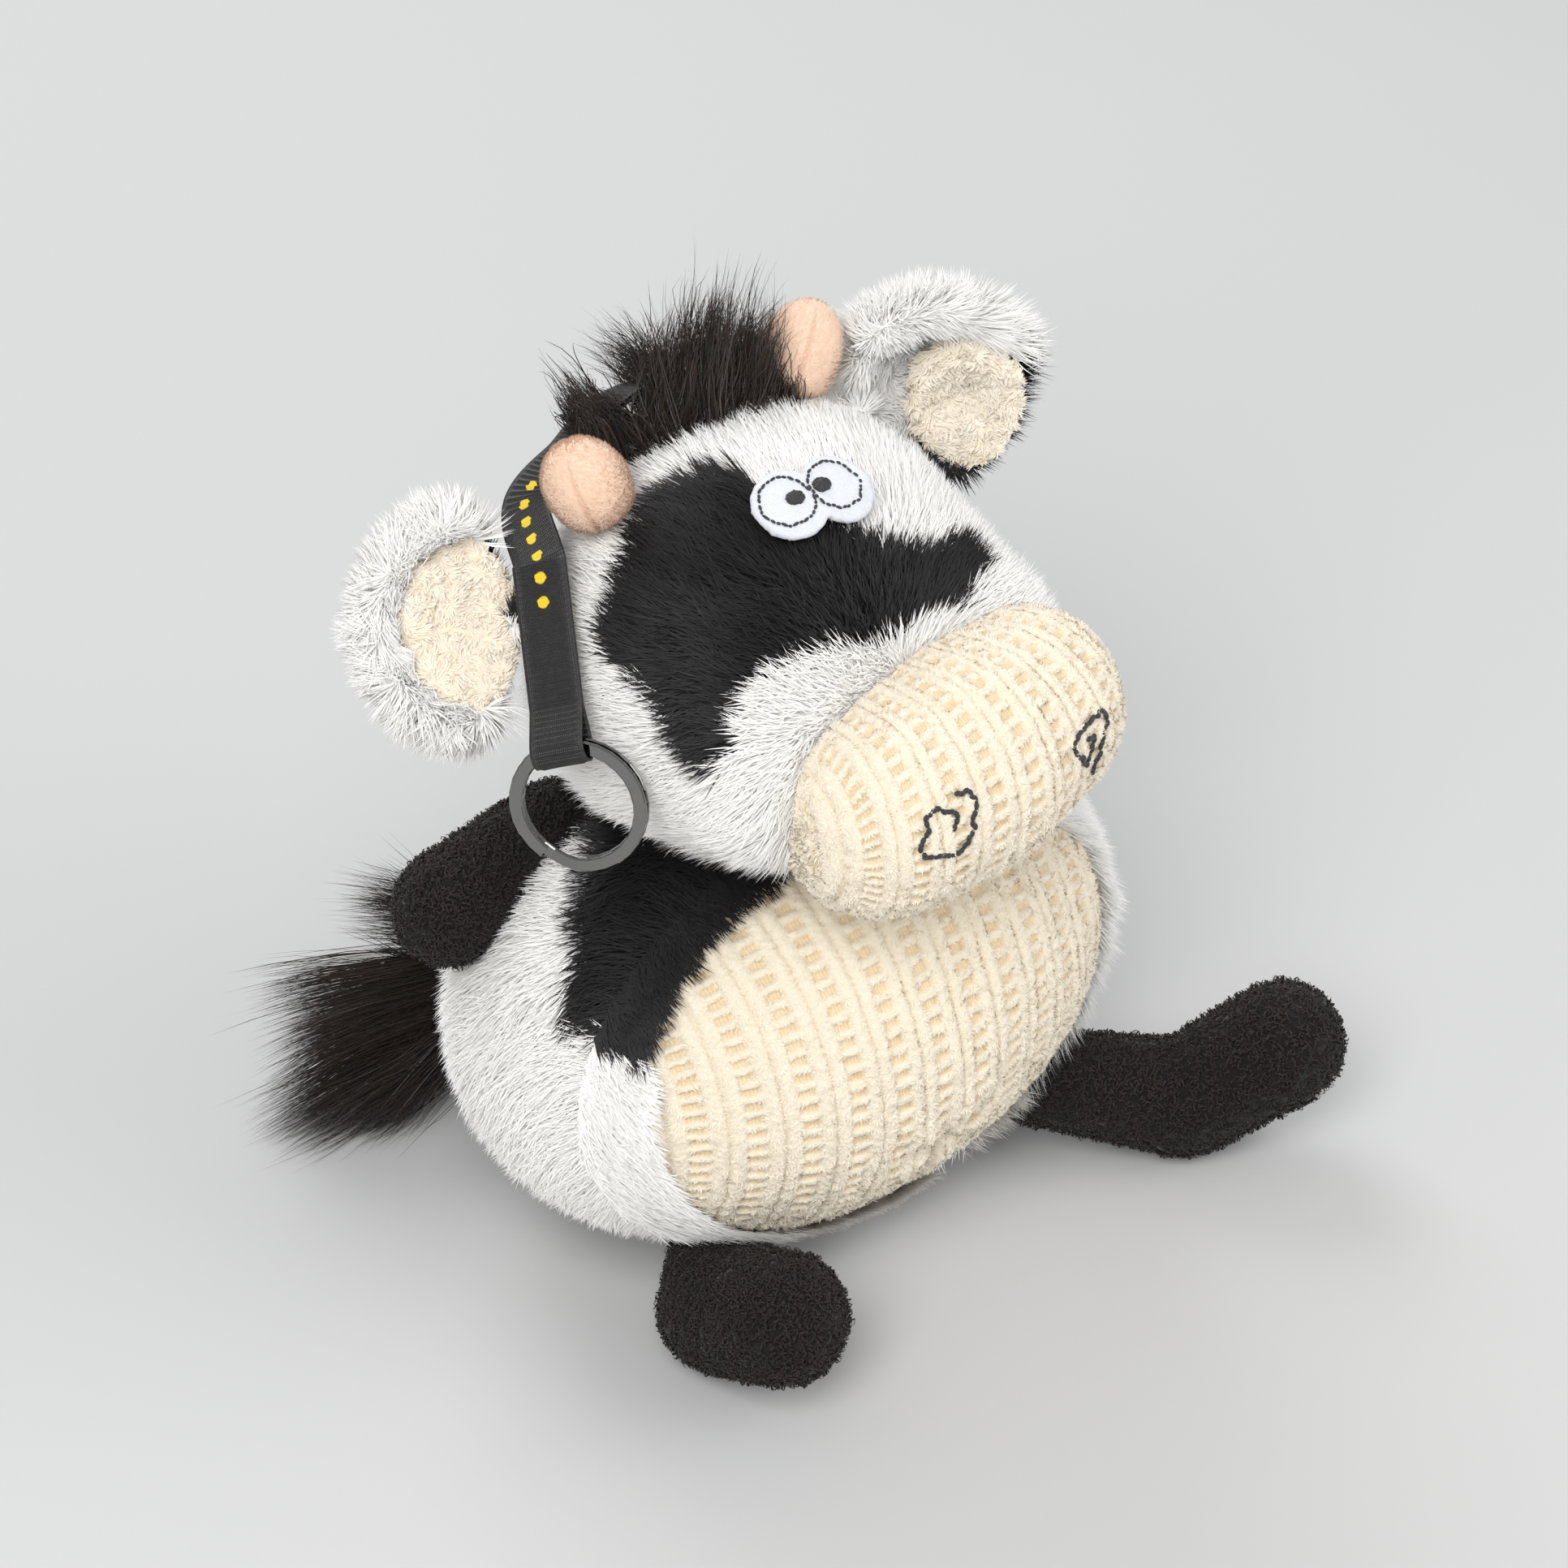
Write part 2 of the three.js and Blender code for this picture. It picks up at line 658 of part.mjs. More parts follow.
function ribbonProfile() {
  const outer = foldBore + foldWall;
  const half = ribbonThick / 2;
  const meet = Math.asin(half / outer);
  const top = ribbonDrop - hingeGap;
  const outline = new THREE.Shape();
  outline.moveTo(-half, top);
  outline.lineTo(-half, outer * Math.cos(meet));
  outline.absarc(0, 0, outer, Math.PI / 2 + meet, Math.PI * 2 + Math.PI / 2 - meet, false);
  outline.lineTo(half, top);
  const bore = new THREE.Path();
  bore.absarc(0, 0, foldBore, 0, Math.PI * 2, true);
  outline.holes.push(bore);
  return outline;
}

const lowerRibbon = new THREE.ExtrudeGeometry(ribbonProfile(), {
  depth: ribbonWide,
  bevelEnabled: false,
  curveSegments: limbSides,
});
lowerRibbon.translate(0, 0, -ribbonWide / 2);
const lowerMesh = addPiece('ribbon_lower', solid(lowerRibbon), blackRibbon, headGroup);
placeFrame(lowerMesh, foldCentre, hangAcross.clone().cross(hangDown), hangDown.clone().negate());

// Hair tuft: locks that rise from one root, clear of horns and ribbon

let hair = hull(lockShares.map(([across, back, up]) => knob(headPlace(across, back, up), hairLockRadius)));
for (const [across, back, up, leanAcross, leanBack, leanUp] of lockShares) {
  const root = headPlace(across, back, up);
  const tip = root.clone().add(vector(leanAcross, leanBack, leanUp).multiplyScalar(hairLength));
  const lock = hull([knob(root, hairLockRadius), knob(tip, hairTipRadius)], limbSides / 2, limbRings / 2);
  hair = hair.add(lock);
}
addPiece('hair_tuft', hair.subtract(hornSeats).subtract(upperStrip(clearance)), blackPile, headGroup);

// Split ring: one wire wound twice, with a crank where it steps from coil to coil

class SplitRingCurve extends THREE.Curve {
  getPoint(share, target = new THREE.Vector3()) {
    const turn = crankTurn + share * (Math.PI * 4 - crankTurn * 2);
    const climb = THREE.MathUtils.smoothstep(turn, Math.PI * 2 - crankTurn, Math.PI * 2 + crankTurn);
    const lift = (climb - 1 / 2) * (wireAxial + coilGap);
    return target.set(wireRadius * Math.cos(turn), wireRadius * Math.sin(turn), lift);
  }
}

function wireSection() {
  const x = wireAxial / 2;
  const y = wireRadial / 2;
  return new THREE.Shape([
    new THREE.Vector2(x, wireChamfer - y),
    new THREE.Vector2(x, y - wireChamfer),
    new THREE.Vector2(x - wireChamfer, y),
    new THREE.Vector2(wireChamfer - x, y),
    new THREE.Vector2(-x, y - wireChamfer),
    new THREE.Vector2(-x, wireChamfer - y),
    new THREE.Vector2(wireChamfer - x, -y),
    new THREE.Vector2(x - wireChamfer, -y),
  ]);
}

const ringGeometry = new THREE.ExtrudeGeometry(wireSection(), {
  extrudePath: new SplitRingCurve(),
  steps: coilSteps,
  bevelEnabled: false,
});
const ringWire = solid(ringGeometry);

// The least gap between the coils, measured on the wire cut in two at its crank
const slit = solid(
  new THREE.BoxGeometry(ringOuterRadius, wireRadial, ringOuterRadius).translate(ringOuterRadius, 0, 0),
);
const [lowCoil, highCoil] = ringWire.subtract(slit).decompose();
const leastGap = lowCoil.minGap(highCoil, ringOuterRadius);
console.log(`least gap between the split ring's coils: ${leastGap.toFixed(2)} mm`);

const ringUp = vector(...ringDownShares).negate();
ringUp.addScaledVector(hangAcross, -ringUp.dot(hangAcross)).normalize();
const ringTurned = ringWire.rotate([0, 0, -THREE.MathUtils.radToDeg(crankPlace)]);
const ringMesh = addPiece('split_ring', ringTurned, chrome, headGroup);
const ringCentre = foldCentre.clone().addScaledVector(ringUp, dip / 2 - wireRadius);
placeFrame(ringMesh, ringCentre, hangAcross, ringUp);

export default charm;
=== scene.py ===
"""A seated plush cow bag charm, dressed in pile, knit, felt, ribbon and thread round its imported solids."""

import json
import math

import bmesh
import bpy
import numpy as np
from mathutils import Matrix, Vector
from mathutils.bvhtree import BVHTree
from mathutils.kdtree import KDTree


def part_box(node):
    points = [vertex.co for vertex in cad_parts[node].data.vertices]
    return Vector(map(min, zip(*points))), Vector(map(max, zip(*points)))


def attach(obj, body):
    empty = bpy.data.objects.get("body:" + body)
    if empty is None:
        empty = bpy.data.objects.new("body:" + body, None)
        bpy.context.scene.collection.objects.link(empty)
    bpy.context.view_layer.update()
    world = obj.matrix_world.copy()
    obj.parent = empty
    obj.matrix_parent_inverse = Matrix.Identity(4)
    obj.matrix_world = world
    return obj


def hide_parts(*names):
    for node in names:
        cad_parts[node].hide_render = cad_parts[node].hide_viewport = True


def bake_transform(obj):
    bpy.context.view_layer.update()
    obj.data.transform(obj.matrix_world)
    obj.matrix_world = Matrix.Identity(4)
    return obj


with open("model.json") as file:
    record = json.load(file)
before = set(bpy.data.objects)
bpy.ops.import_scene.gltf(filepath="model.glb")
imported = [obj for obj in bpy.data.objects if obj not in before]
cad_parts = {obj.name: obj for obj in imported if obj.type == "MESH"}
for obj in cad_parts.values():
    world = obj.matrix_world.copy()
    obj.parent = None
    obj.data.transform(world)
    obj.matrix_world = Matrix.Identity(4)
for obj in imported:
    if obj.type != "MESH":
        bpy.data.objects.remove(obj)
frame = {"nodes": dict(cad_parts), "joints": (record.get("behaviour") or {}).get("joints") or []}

bl_info = {
    "name": "Plush cow bag charm",
    "version": (1, 0, 0),
    "blender": (4, 5, 0),
    "location": "View3D > Sidebar > Plush",
    "description": "Dresses a seated plush cow in pile, knit, felt, ribbon and thread",
    "category": "Object",
}

MM = 0.001

# Where the solids stand, in millimetres
TORSO_CENTRE = np.array([0.0, 0.0, 50.0])
TORSO_HALF = np.array([71.0, 53.0, 50.5])
SEAM_PLACE = Vector((0, -37.0, 0))
SEAM_FACING = Vector((0.0688, 0.9836, -0.1668)).normalized()
HEAD_CENTRE = np.array([-0.94, 5.93, 124.0])
HEAD_HALF = np.array([47.0, 40.0, 41.5])
HEAD_YAW = math.radians(9)
NECK_CENTRE = np.array([0.0, 0.0, 102.0])
NECK_GAP = 5.5
MUZZLE_CENTRE = np.array([6.26, -39.5, 117.5])
EAR_FACES = {"right": (-0.3, -0.75, 0.58), "left": (-0.54, -0.84, -0.1)}
EAR_ROOTS = {"right": (-44.9, 18.2, 139.0), "left": (37.1, 24.6, 145.5)}
EYES = {"right": (-7.2, -10.6, 162.7), "left": (3.6, -11.4, 162.4)}
PUPILS = {"right": (-5.2, -10.7, 162.9), "left": (0.9, -10.5, 163.0)}
NOSTRILS = {"right": (-11.5, -61.0, 123.6), "left": (25.6, -56.6, 121.3)}

# The nostrils' stitched lines, in millimetres across and up from their middles as the camera sees them
NOSTRIL_LINES = {
    "right": [
        (0.0, 5.7), (1.6, 6.2), (3.0, 6.3), (3.6, 4.9), (4.3, 4.0), (3.7, 2.6), (3.4, 1.1), (3.7, 0.0), (2.8, -2.4),
        (1.2, -4.5), (-1.5, -4.9), (-4.7, -4.9), (-5.3, -2.7), (-4.3, -0.6), (-4.6, 1.0), (-3.3, 3.1), (-0.9, 2.6),
        (0.9, 2.4), (0.6, 1.0), (-0.1, -0.9),
    ],
    "left": [
        (-1.7, 0.4), (-0.2, 1.4), (-0.5, -0.8), (-1.5, -4.0), (-2.7, -2.3), (-3.9, -1.5), (-3.3, 0.7), (-1.7, 2.6),
        (0.2, 4.8), (2.0, 5.9), (2.2, 3.3), (1.6, 0.4), (0.8, -2.1), (0.2, -4.0), (-0.1, -6.0),
    ],
}

# Outlines of the dark patches, as angles round each patch's own middle
STAR_PATCH = [
    (-0.61, -0.16), (-0.53, 0.0), (-0.51, 0.14), (-0.51, 0.29), (-0.44, 0.4), (-0.42, 0.54), (-0.32, 0.6),
    (-0.23, 0.65), (-0.14, 0.69), (-0.04, 0.67), (0.04, 0.56), (0.13, 0.43), (0.27, 0.36), (0.43, 0.39),
    (0.57, 0.32), (0.78, 0.3), (0.94, 0.33), (1.1, 0.41), (1.24, 0.46), (1.34, 0.42), (1.37, 0.35),
    (1.3, 0.22), (1.13, 0.02), (0.95, -0.09), (0.69, -0.16), (0.47, -0.19), (0.31, -0.23), (0.2, -0.29),
    (0.1, -0.35), (0.04, -0.41), (0.03, -0.49), (0.01, -0.56), (-0.03, -0.65), (-0.1, -0.66),
    (-0.17, -0.62), (-0.22, -0.57), (-0.26, -0.48), (-0.31, -0.4), (-0.38, -0.35), (-0.47, -0.31),
    (-0.54, -0.25),
]
FLANK_PATCH = [
    (-0.5, 0.44), (-0.36, 0.42), (-0.14, 0.37), (0.06, 0.41), (0.34, 0.45), (0.34, 0.34), (0.3, 0.18),
    (0.28, 0.09), (0.28, -0.05), (0.28, -0.18), (0.27, -0.3), (0.14, -0.3), (0.07, -0.31), (-0.03, -0.3),
    (-0.08, -0.16), (-0.13, -0.06), (-0.21, 0.05), (-0.3, 0.2), (-0.44, 0.33),
]

# The locks of hair: root and way to the tip, as shares of the head and of the hair's length
LOCKS = [
    (-0.2, 0.5, 0.88, -0.09, 0.43, 0.35),
    (-0.25, 0.62, 0.9, -0.1, 0.15, 0.45),
    (-0.06, 0.42, 0.9, 0.34, 0.36, 0.62),
    (0.08, 0.36, 0.9, 0.5, 0.35, 0.9),
    (0.22, 0.38, 0.88, 0.55, 0.25, 0.78),
    (0.36, 0.36, 0.84, 0.45, 0.14, 0.53),
    (0.1, 0.6, 0.8, 0.1, 0.7, 0.5),
]
# The ribbon's way over the crown: place on the head and facing
RIBBON_ROUTE = [
    (0.19, 0.5, 0.82, 0.1, 0.5, 0.86),
    (0.13, 0.65, 0.92, 0.1, 0.5, 0.86),
    (0.0, 0.75, 0.93, 0.0, 0.45, 0.89),
    (-0.18, 0.76, 0.9, -0.2, 0.4, 0.89),
    (-0.37, 0.72, 0.85, -0.4, 0.35, 0.85),
    (-0.64, 0.68, 0.75, -0.65, 0.15, 0.74),
    (-0.84, 0.38, 0.687, -0.785, -0.285, 0.549),
]
TAIL_ROOT = np.array([0.0, 44.63, 20.0])
TAIL_BELLY = np.array([-32.0, 58.63, 20.0])
TAIL_TIPS = [(-69.1, 71.3, 15.0), (-68.4, 66.9, 28.0), (-54.0, 74.9, 45.0), (-67.7, 61.9, 3.0)]

# How many fibres or loops are tried on each skin
FIBRES = {
    "torso": 94000, "seam": 26000, "rim": 18000, "belly nap": 90000, "neck": 6000, "head": 78000,
    "muzzle nap": 60000, "horn nap": 14000, "ear": 24000, "ear curls": 9000, "arm loops": 9000,
    "leg loops": 12500,
}
LOOP_TURN = 1.5 * math.pi
LOOP_RADIUS = 0.5
LOOP_WIDTH = 0.3
STRANDS_PER_LOCK = 150

# The muzzle's and the limbs' cloth is simulated at cushion size for this many frames
STUFFING_SCALE = 9.0
STUFFING_PRESSURE = 4.0
STUFFING_FRAMES = 20

# Radii at which the knit's courses are counted, how deep its holes are, and how far in the belly lies
BELLY_TURN = 49.0
MUZZLE_TURN = 21.5
KNIT_DEPTHS = {"belly": 1.35, "muzzle": 1.2}
BELLY_INSET = 1.6
BELLY_TUCK = 2.5

# The gathered dent in the belly
PUCKER = np.array([0.7, -48.0, 35.7])
PUCKER_DEPTH = 2.2
PUCKER_RADIUS = 4.5
PUCKER_FOLDS = 5

# How far the fur laps over the knit, round which height, how deep it presses the knit, and where it ends across
LAP_REACH = 7.0
LAP_HEIGHT = 48.0
LAP_SPREAD = 34.0
LAP_PRESS = 2.0
LAP_END = 6.0

# Strips of skin along the seam: from and to, measured behind it, and how deep they lie
SEAM_BAND = (-7.2, 3.0, 1.2)
RIM_BAND = (0.3, 11.0, 3.4)

# The rim's pile on the cow's left: where it starts across, its length at the seam and how much shorter it gets
RIM_START = 15.0
RIM_LENGTH = 8.0
RIM_FADE = 3.4

NECK_RADIUS = 16.8
NECK_CUT = 92.2
NECK_BAND = 8.0
NECK_PILE = 4.5
EYE_CLEARANCE = 5.5
EYE_FACING = (0.0, -0.42, 0.91)
EYE_STITCH_RADIUS = 5.25
EYE_STITCH = {"thick": 0.3, "gap": 0.2}
NOSTRIL_STITCH = {"length": 1.15, "thick": 0.52, "gap": -0.2, "stray": 0.26}
PUPIL_HALF = (1.9, 1.5, 0.5)
HORN_LEAN = 0.49

# How far each ear's skin is drawn in, across and up, and how the far ear's lining is moved
EAR_SHARES = {"right": (0.8, 0.8), "left": (0.95, 0.84)}
FAR_LINING_SHARE = 0.97
FAR_LINING_ASIDE = 4.4
FAR_LINING_DOWN = 3.2

HAIR_LENGTH = 27.0
HAIR_WIDTH = 0.24
TUFTS_PER_LOCK = 9
TAIL_WIDTH = 0.3
TUFTS_PER_TIP = 14

# The ribbon's band and its fold round the ring
DOT_PITCH = 4.4
DOT_RADIUS = 1.0
FIRST_DOT = 9.5
LAST_DOT = 16.5
WEFT_PITCH = 0.28
RIB_HEIGHT = 0.2
RIBBON_COLUMNS = 16
RIBBON_BEND = 3.0
RIBBON_WIDTH = 10.0
RIBBON_THICKNESS = 0.5
RIBBON_HALF_GAP = 0.39
RIBBON_FOLD_RADIUS = 2.72
RIBBON_FOLD_START = 1.2

# The camera, as the photograph was taken, and the way to the brightest light for fibres
TOWARD_LIGHT = np.array([-0.52, -0.505, 0.69])
CAMERA_PLACE = (-0.43798, -0.53276, 0.62955)
CAMERA_RIGHT = (0.7716, -0.6361, 0.0)
CAMERA_UP = (0.3916, 0.4751, 0.7880)
CAMERA_BACK = (-0.5012, -0.6080, 0.6157)
CAMERA_LENS = 108.17

# The stage: each lamp's place, power and size, where they aim, the floor and the air's light, in metres and watts
LAMPS = {
    "key": ((-0.75, -0.55, 1.05), 13.0, 0.75),
    "fill": ((0.75, -0.85, 0.75), 5.7, 0.9),
    "rim": ((0.25, 0.95, 0.9), 6.6, 0.7),
}
LAMP_AIM = (0, 0, 0.09)
FLOOR_HALF = 3
FLOOR_TONES = ((0.56, 0.56, 0.554), (0.58, 0.578, 0.572))
AIR_TONE = (0.95, 0.97, 1.0)
AIR_LIGHT = 0.5


# Numbers in space


def unit(vectors):
    return vectors / np.maximum(np.linalg.norm(vectors, axis=-1, keepdims=True), 1e-12)


def turned(vector):
    """A direction or place in the head's own frame, turned with the head."""
    x, y, z = vector
    c, s = math.cos(HEAD_YAW), math.sin(HEAD_YAW)
    return np.array([c * x - s * y, s * x + c * y, z])


def on_head(across, back, up):
    return HEAD_CENTRE + turned(HEAD_HALF * (across, back, up))


def noise(points, size, salt):
    """Smooth noise from -1 to 1, with features of about this size."""
    q = np.asarray(points) / size
    base = np.floor(q).astype(np.int64)
    part = q - base
    part = part * part * (3 - 2 * part)
    total = np.zeros(len(q))
    for corner in range(8):
        step = np.array([corner & 1, corner >> 1 & 1, corner >> 2 & 1])
        weight = np.prod(np.where(step, part, 1 - part), axis=1)
        x, y, z = (base + step).T
        mixed = (x * 73856093) ^ (y * 19349663) ^ (z * 83492791) ^ (salt * 83492791 + 12345)
        mixed = (mixed ^ (mixed >> 13)) * 1274126177 & 0x7FFFFFFF
        mixed = (mixed ^ (mixed >> 11)) * 668265263 & 0x7FFFFFFF
        total += weight * (mixed / 0x3FFFFFFF - 1)
    return total


def smooth_step(value, low, high):
    share = np.clip((value - low) / (high - low), 0, 1)
    return share * share * (3 - 2 * share)


class Patch:
    """A dark patch of pile round a direction from a centre."""

    def __init__(self, centre, toward, outline):
        self.centre = np.array(centre, float)
        self.toward = unit(np.array(toward, float))
        self.across = unit(np.cross((0, 0, 1), self.toward))
        self.up = np.cross(self.toward, self.across)
        self.outline = outline

    def holds(self, points):
        away = unit(points - self.centre)
        x, y = away @ self.across, away @ self.up
        angle = np.arccos(np.clip(away @ self.toward, -1, 1)) / np.maximum(np.hypot(x, y), 1e-9)
        x, y = x * angle, y * angle
        inside = np.zeros(len(points), bool)
        for (ax, ay), (bx, by) in zip(self.outline, self.outline[1:] + self.outline[:1]):
            crosses = (ay > y) != (by > y)
            rise = by - ay if by != ay else 1e-9
            inside ^= crosses & (x < (bx - ax) * (y - ay) / rise + ax)
        return inside


def blot(radius, seed):
    """A plain rounded patch outline with uneven lobes."""
    rng = np.random.default_rng(seed)
    swell = 1 + 0.22 * rng.standard_normal(9)
    angles = np.linspace(0, 2 * math.pi, 9, endpoint=False)
    fine = np.linspace(0, 2 * math.pi, 30, endpoint=False)
    reach = radius * np.interp(fine, np.append(angles, 2 * math.pi), np.append(swell, swell[0]))
    return [(float(r * math.cos(a)), float(r * math.sin(a))) for r, a in zip(reach, fine)]


HEAD_PATCHES = [
    Patch(HEAD_CENTRE, (-0.491, -0.557, 0.67), STAR_PATCH),
    Patch(HEAD_CENTRE, (0.3, 0.72, 0.62), blot(0.36, 3)),
    Patch(HEAD_CENTRE, (-0.62, 0.78, 0.1), blot(0.42, 5)),
    Patch(HEAD_CENTRE, (-0.86, 0.3, 0.4), blot(0.13, 8)),
]
TORSO_PATCHES = [
    Patch(TORSO_CENTRE, (-0.777, -0.181, 0.603), FLANK_PATCH),
    Patch(TORSO_CENTRE, (0.86, 0.42, 0.05), blot(0.42, 11)),
    Patch(TORSO_CENTRE, (-0.25, 0.9, 0.3), blot(0.46, 12)),
    Patch(TORSO_CENTRE, (-0.75, 0.5, -0.42), blot(0.3, 14)),
]


def dark(points, patches):
    wavy = points + np.stack([noise(points, 5, salt) for salt in (1, 2, 3)], 1) * 1.3
    held = np.zeros(len(points), bool)
    for patch in patches:
        held |= patch.holds(wavy)
    return held


# Meshes


def points_of(mesh):
    flat = np.empty(len(mesh.vertices) * 3)
    mesh.vertices.foreach_get("co", flat)
    return flat.reshape(-1, 3) / MM


def set_points(mesh, points):
    mesh.vertices.foreach_set("co", (points * MM).ravel())
    mesh.update()


def normals_of(mesh):
    flat = np.empty(len(mesh.vertices) * 3)
    mesh.vertex_normals.foreach_get("vector", flat)
    return flat.reshape(-1, 3)


def mesh_from(bm, name):
    mesh = bpy.data.meshes.new(name)
    bm.to_mesh(mesh)
    bm.free()
    return mesh


def add_ball(bm, centre, half, subdivisions):
    place = Matrix.Translation(Vector(centre) * MM) @ Matrix.Diagonal((*(Vector(half) * MM), 1))
    bmesh.ops.create_icosphere(bm, subdivisions=subdivisions, radius=1, matrix=place)


def keep_side(bm, place, facing, closed=True):
    """Cuts the form by a plane, keeps what lies behind it and may close the cut."""
    geometry = bm.verts[:] + bm.edges[:] + bm.faces[:]
    bmesh.ops.bisect_plane(
        bm, geom=geometry, plane_co=place * MM, plane_no=facing, clear_outer=True, clear_inner=False
    )
    if not closed:
        return
    rim = [edge for edge in bm.edges if edge.is_boundary]
    bmesh.ops.holes_fill(bm, edges=rim, sides=0)
    bmesh.ops.triangulate(bm, faces=[face for face in bm.faces if len(face.verts) > 4])


def copy_of(*nodes):
    """The welded corners and faces of CAD nodes."""
    bm = bmesh.new()
    for node in nodes:
        bm.from_mesh(frame["nodes"][node].data)
    bmesh.ops.remove_doubles(bm, verts=bm.verts, dist=1e-6)
    return bm


def hull_of(*nodes):
    bm = copy_of(*nodes)
    bmesh.ops.delete(bm, geom=bm.edges[:], context="EDGES_FACES")
    found = bmesh.ops.convex_hull(bm, input=bm.verts[:])
    spare = {g for key in ("geom_interior", "geom_unused") for g in found[key] if isinstance(g, bmesh.types.BMVert)}
    bmesh.ops.delete(bm, geom=list(spare), context="VERTS")
    return bm


def shaped(mesh, *modifiers):
    """The mesh after modifiers, each a type and its settings."""
    maker = bpy.data.objects.new("maker", mesh)
    bpy.context.scene.collection.objects.link(maker)
    for kind, settings in modifiers:
        modifier = maker.modifiers.new(kind, kind)
        for key, value in settings.items():
            setattr(modifier, key, value)
    graph = bpy.context.evaluated_depsgraph_get()
    made = bpy.data.meshes.new_from_object(maker.evaluated_get(graph))
    bpy.data.objects.remove(maker)
    return made


def remeshed(mesh, voxel, smooth):
    """An even mesh of the same form, with its facets smoothed away."""
    return shaped(
        mesh,
        ("REMESH", {"mode": "VOXEL", "voxel_size": voxel * MM, "adaptivity": 0}),
        ("SMOOTH", {"factor": 0.5, "iterations": smooth}),
    )


def grown(mesh, distance):
    """Moves the surface along its normals."""
    set_points(mesh, points_of(mesh) + normals_of(mesh) * distance)
    return mesh


def subdivided(mesh):
    return shaped(mesh, ("SUBSURF", {"levels": 1, "render_levels": 1}))


def stuffed(mesh, cap):
    """Fills a cloth skin by a short simulation at cushion size, and caps how far it swells."""
    rest = points_of(mesh)
    set_points(mesh, rest * STUFFING_SCALE)
    skin = bpy.data.objects.new("skin", mesh)
    bpy.context.scene.collection.objects.link(skin)
    cloth = skin.modifiers.new("cloth", "CLOTH")
    cloth.settings.use_pressure = True
    cloth.settings.uniform_pressure_force = STUFFING_PRESSURE
    cloth.settings.effector_weights.gravity = 0
    cloth.settings.quality = 4
    cloth.settings.tension_stiffness = 15
    cloth.settings.compression_stiffness = 15
    cloth.settings.bending_stiffness = 0.5
    cloth.collision_settings.use_collision = False
    cloth.point_cache.frame_start = 1
    cloth.point_cache.frame_end = STUFFING_FRAMES
    scene = bpy.context.scene
    for step in range(1, STUFFING_FRAMES + 1):
        scene.frame_set(step)
    made = bpy.data.meshes.new_from_object(skin.evaluated_get(bpy.context.evaluated_depsgraph_get()))
    bpy.data.objects.remove(skin)
    scene.frame_set(1)
    moved = points_of(made) / STUFFING_SCALE - rest
    far = np.linalg.norm(moved, axis=1, keepdims=True)
    set_points(made, rest + moved * np.minimum(1, cap / np.maximum(far, 1e-9)))
    return shaped(made, ("SMOOTH", {"factor": 0.5, "iterations": 2}))


def surface_of(mesh):
    """The mesh as a surface that can be searched and met by rays."""
    faces = [tuple(face.vertices) for face in mesh.polygons]
    return BVHTree.FromPolygons([tuple(point) for point in points_of(mesh)], faces)


def number_layer(mesh, name, values):
    layer = mesh.attributes.get(name) or mesh.attributes.new(name, "FLOAT", "POINT")
    layer.data.foreach_set("value", np.asarray(values, np.float32))


def place_piece(name, mesh, look, body, slot, replaces=()):
    """Makes a piece of a mesh, gives it its finish and ties it to a body."""
    mesh.name = name
    mesh.materials.clear()
    mesh.materials.append(look)
    mesh.polygons.foreach_set("use_smooth", np.ones(len(mesh.polygons), bool))
    piece = bpy.data.objects.new(name, mesh)
    bpy.context.scene.collection.objects.link(piece)
    if body:
        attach(piece, body)
    if replaces:
        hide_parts(*replaces)
    return piece


# Pile: one fibre's form, repeated over a skin


def fibre_form(segments, pointed=True):
    """A flat fibre a unit wide and long, from bmesh, as corners and faces."""
    bm = bmesh.new()
    bmesh.ops.create_grid(bm, x_segments=1, y_segments=segments, size=0.5)
    if pointed:
        tip = [v for v in bm.verts if v.co.y > 0.49]
        bmesh.ops.pointmerge(bm, verts=tip, merge_co=(0, 0.5, 0))
    bm.verts.index_update()
    corners = np.array([(v.co.x, v.co.y + 0.5) for v in bm.verts])
    faces = [[v.index for v in face.verts] for face in bm.faces]
    bm.free()
    return corners, faces


def repeated(name, faces, places):
    """One mesh of many copies of a form, whose corners' places are given copy by copy."""
    copies, corners = places.shape[:2]
    pattern = np.concatenate(faces)
    lengths = np.array([len(face) for face in faces])
    starts = np.concatenate([[0], np.cumsum(lengths)[:-1]])
    loops = (pattern[None] + np.arange(copies)[:, None] * corners).ravel()
    loop_starts = (starts[None] + np.arange(copies)[:, None] * len(pattern)).ravel()
    mesh = bpy.data.meshes.new(name)
    mesh.vertices.add(copies * corners)
    mesh.loops.add(len(loops))
    mesh.polygons.add(len(loop_starts))
    mesh.vertices.foreach_set("co", (places * MM).ravel())
    mesh.loops.foreach_set("vertex_index", loops.astype(np.int32))
    mesh.polygons.foreach_set("loop_start", loop_starts.astype(np.int32))
    mesh.update(calc_edges=True)
    mesh.validate()
    return mesh


def sampled(mesh, count, rng):
    """Even random places on a mesh, with its normals."""
    mesh.calc_loop_triangles()
    corners = np.empty(len(mesh.loop_triangles) * 3, np.int32)
    mesh.loop_triangles.foreach_get("vertices", corners)
    corners = corners.reshape(-1, 3)
    places, normals = points_of(mesh), normals_of(mesh)
    a, b, c = (places[corners[:, k]] for k in range(3))
    area = np.linalg.norm(np.cross(b - a, c - a), axis=1)
    pick = rng.choice(len(corners), count, p=area / area.sum())
    u, v = rng.random((2, count))
    over = u + v > 1
    u[over], v[over] = 1 - u[over], 1 - v[over]
    share = np.stack([1 - u - v, u, v], 1)[:, :, None]
    return (places[corners[pick]] * share).sum(1), unit((normals[corners[pick]] * share).sum(1))


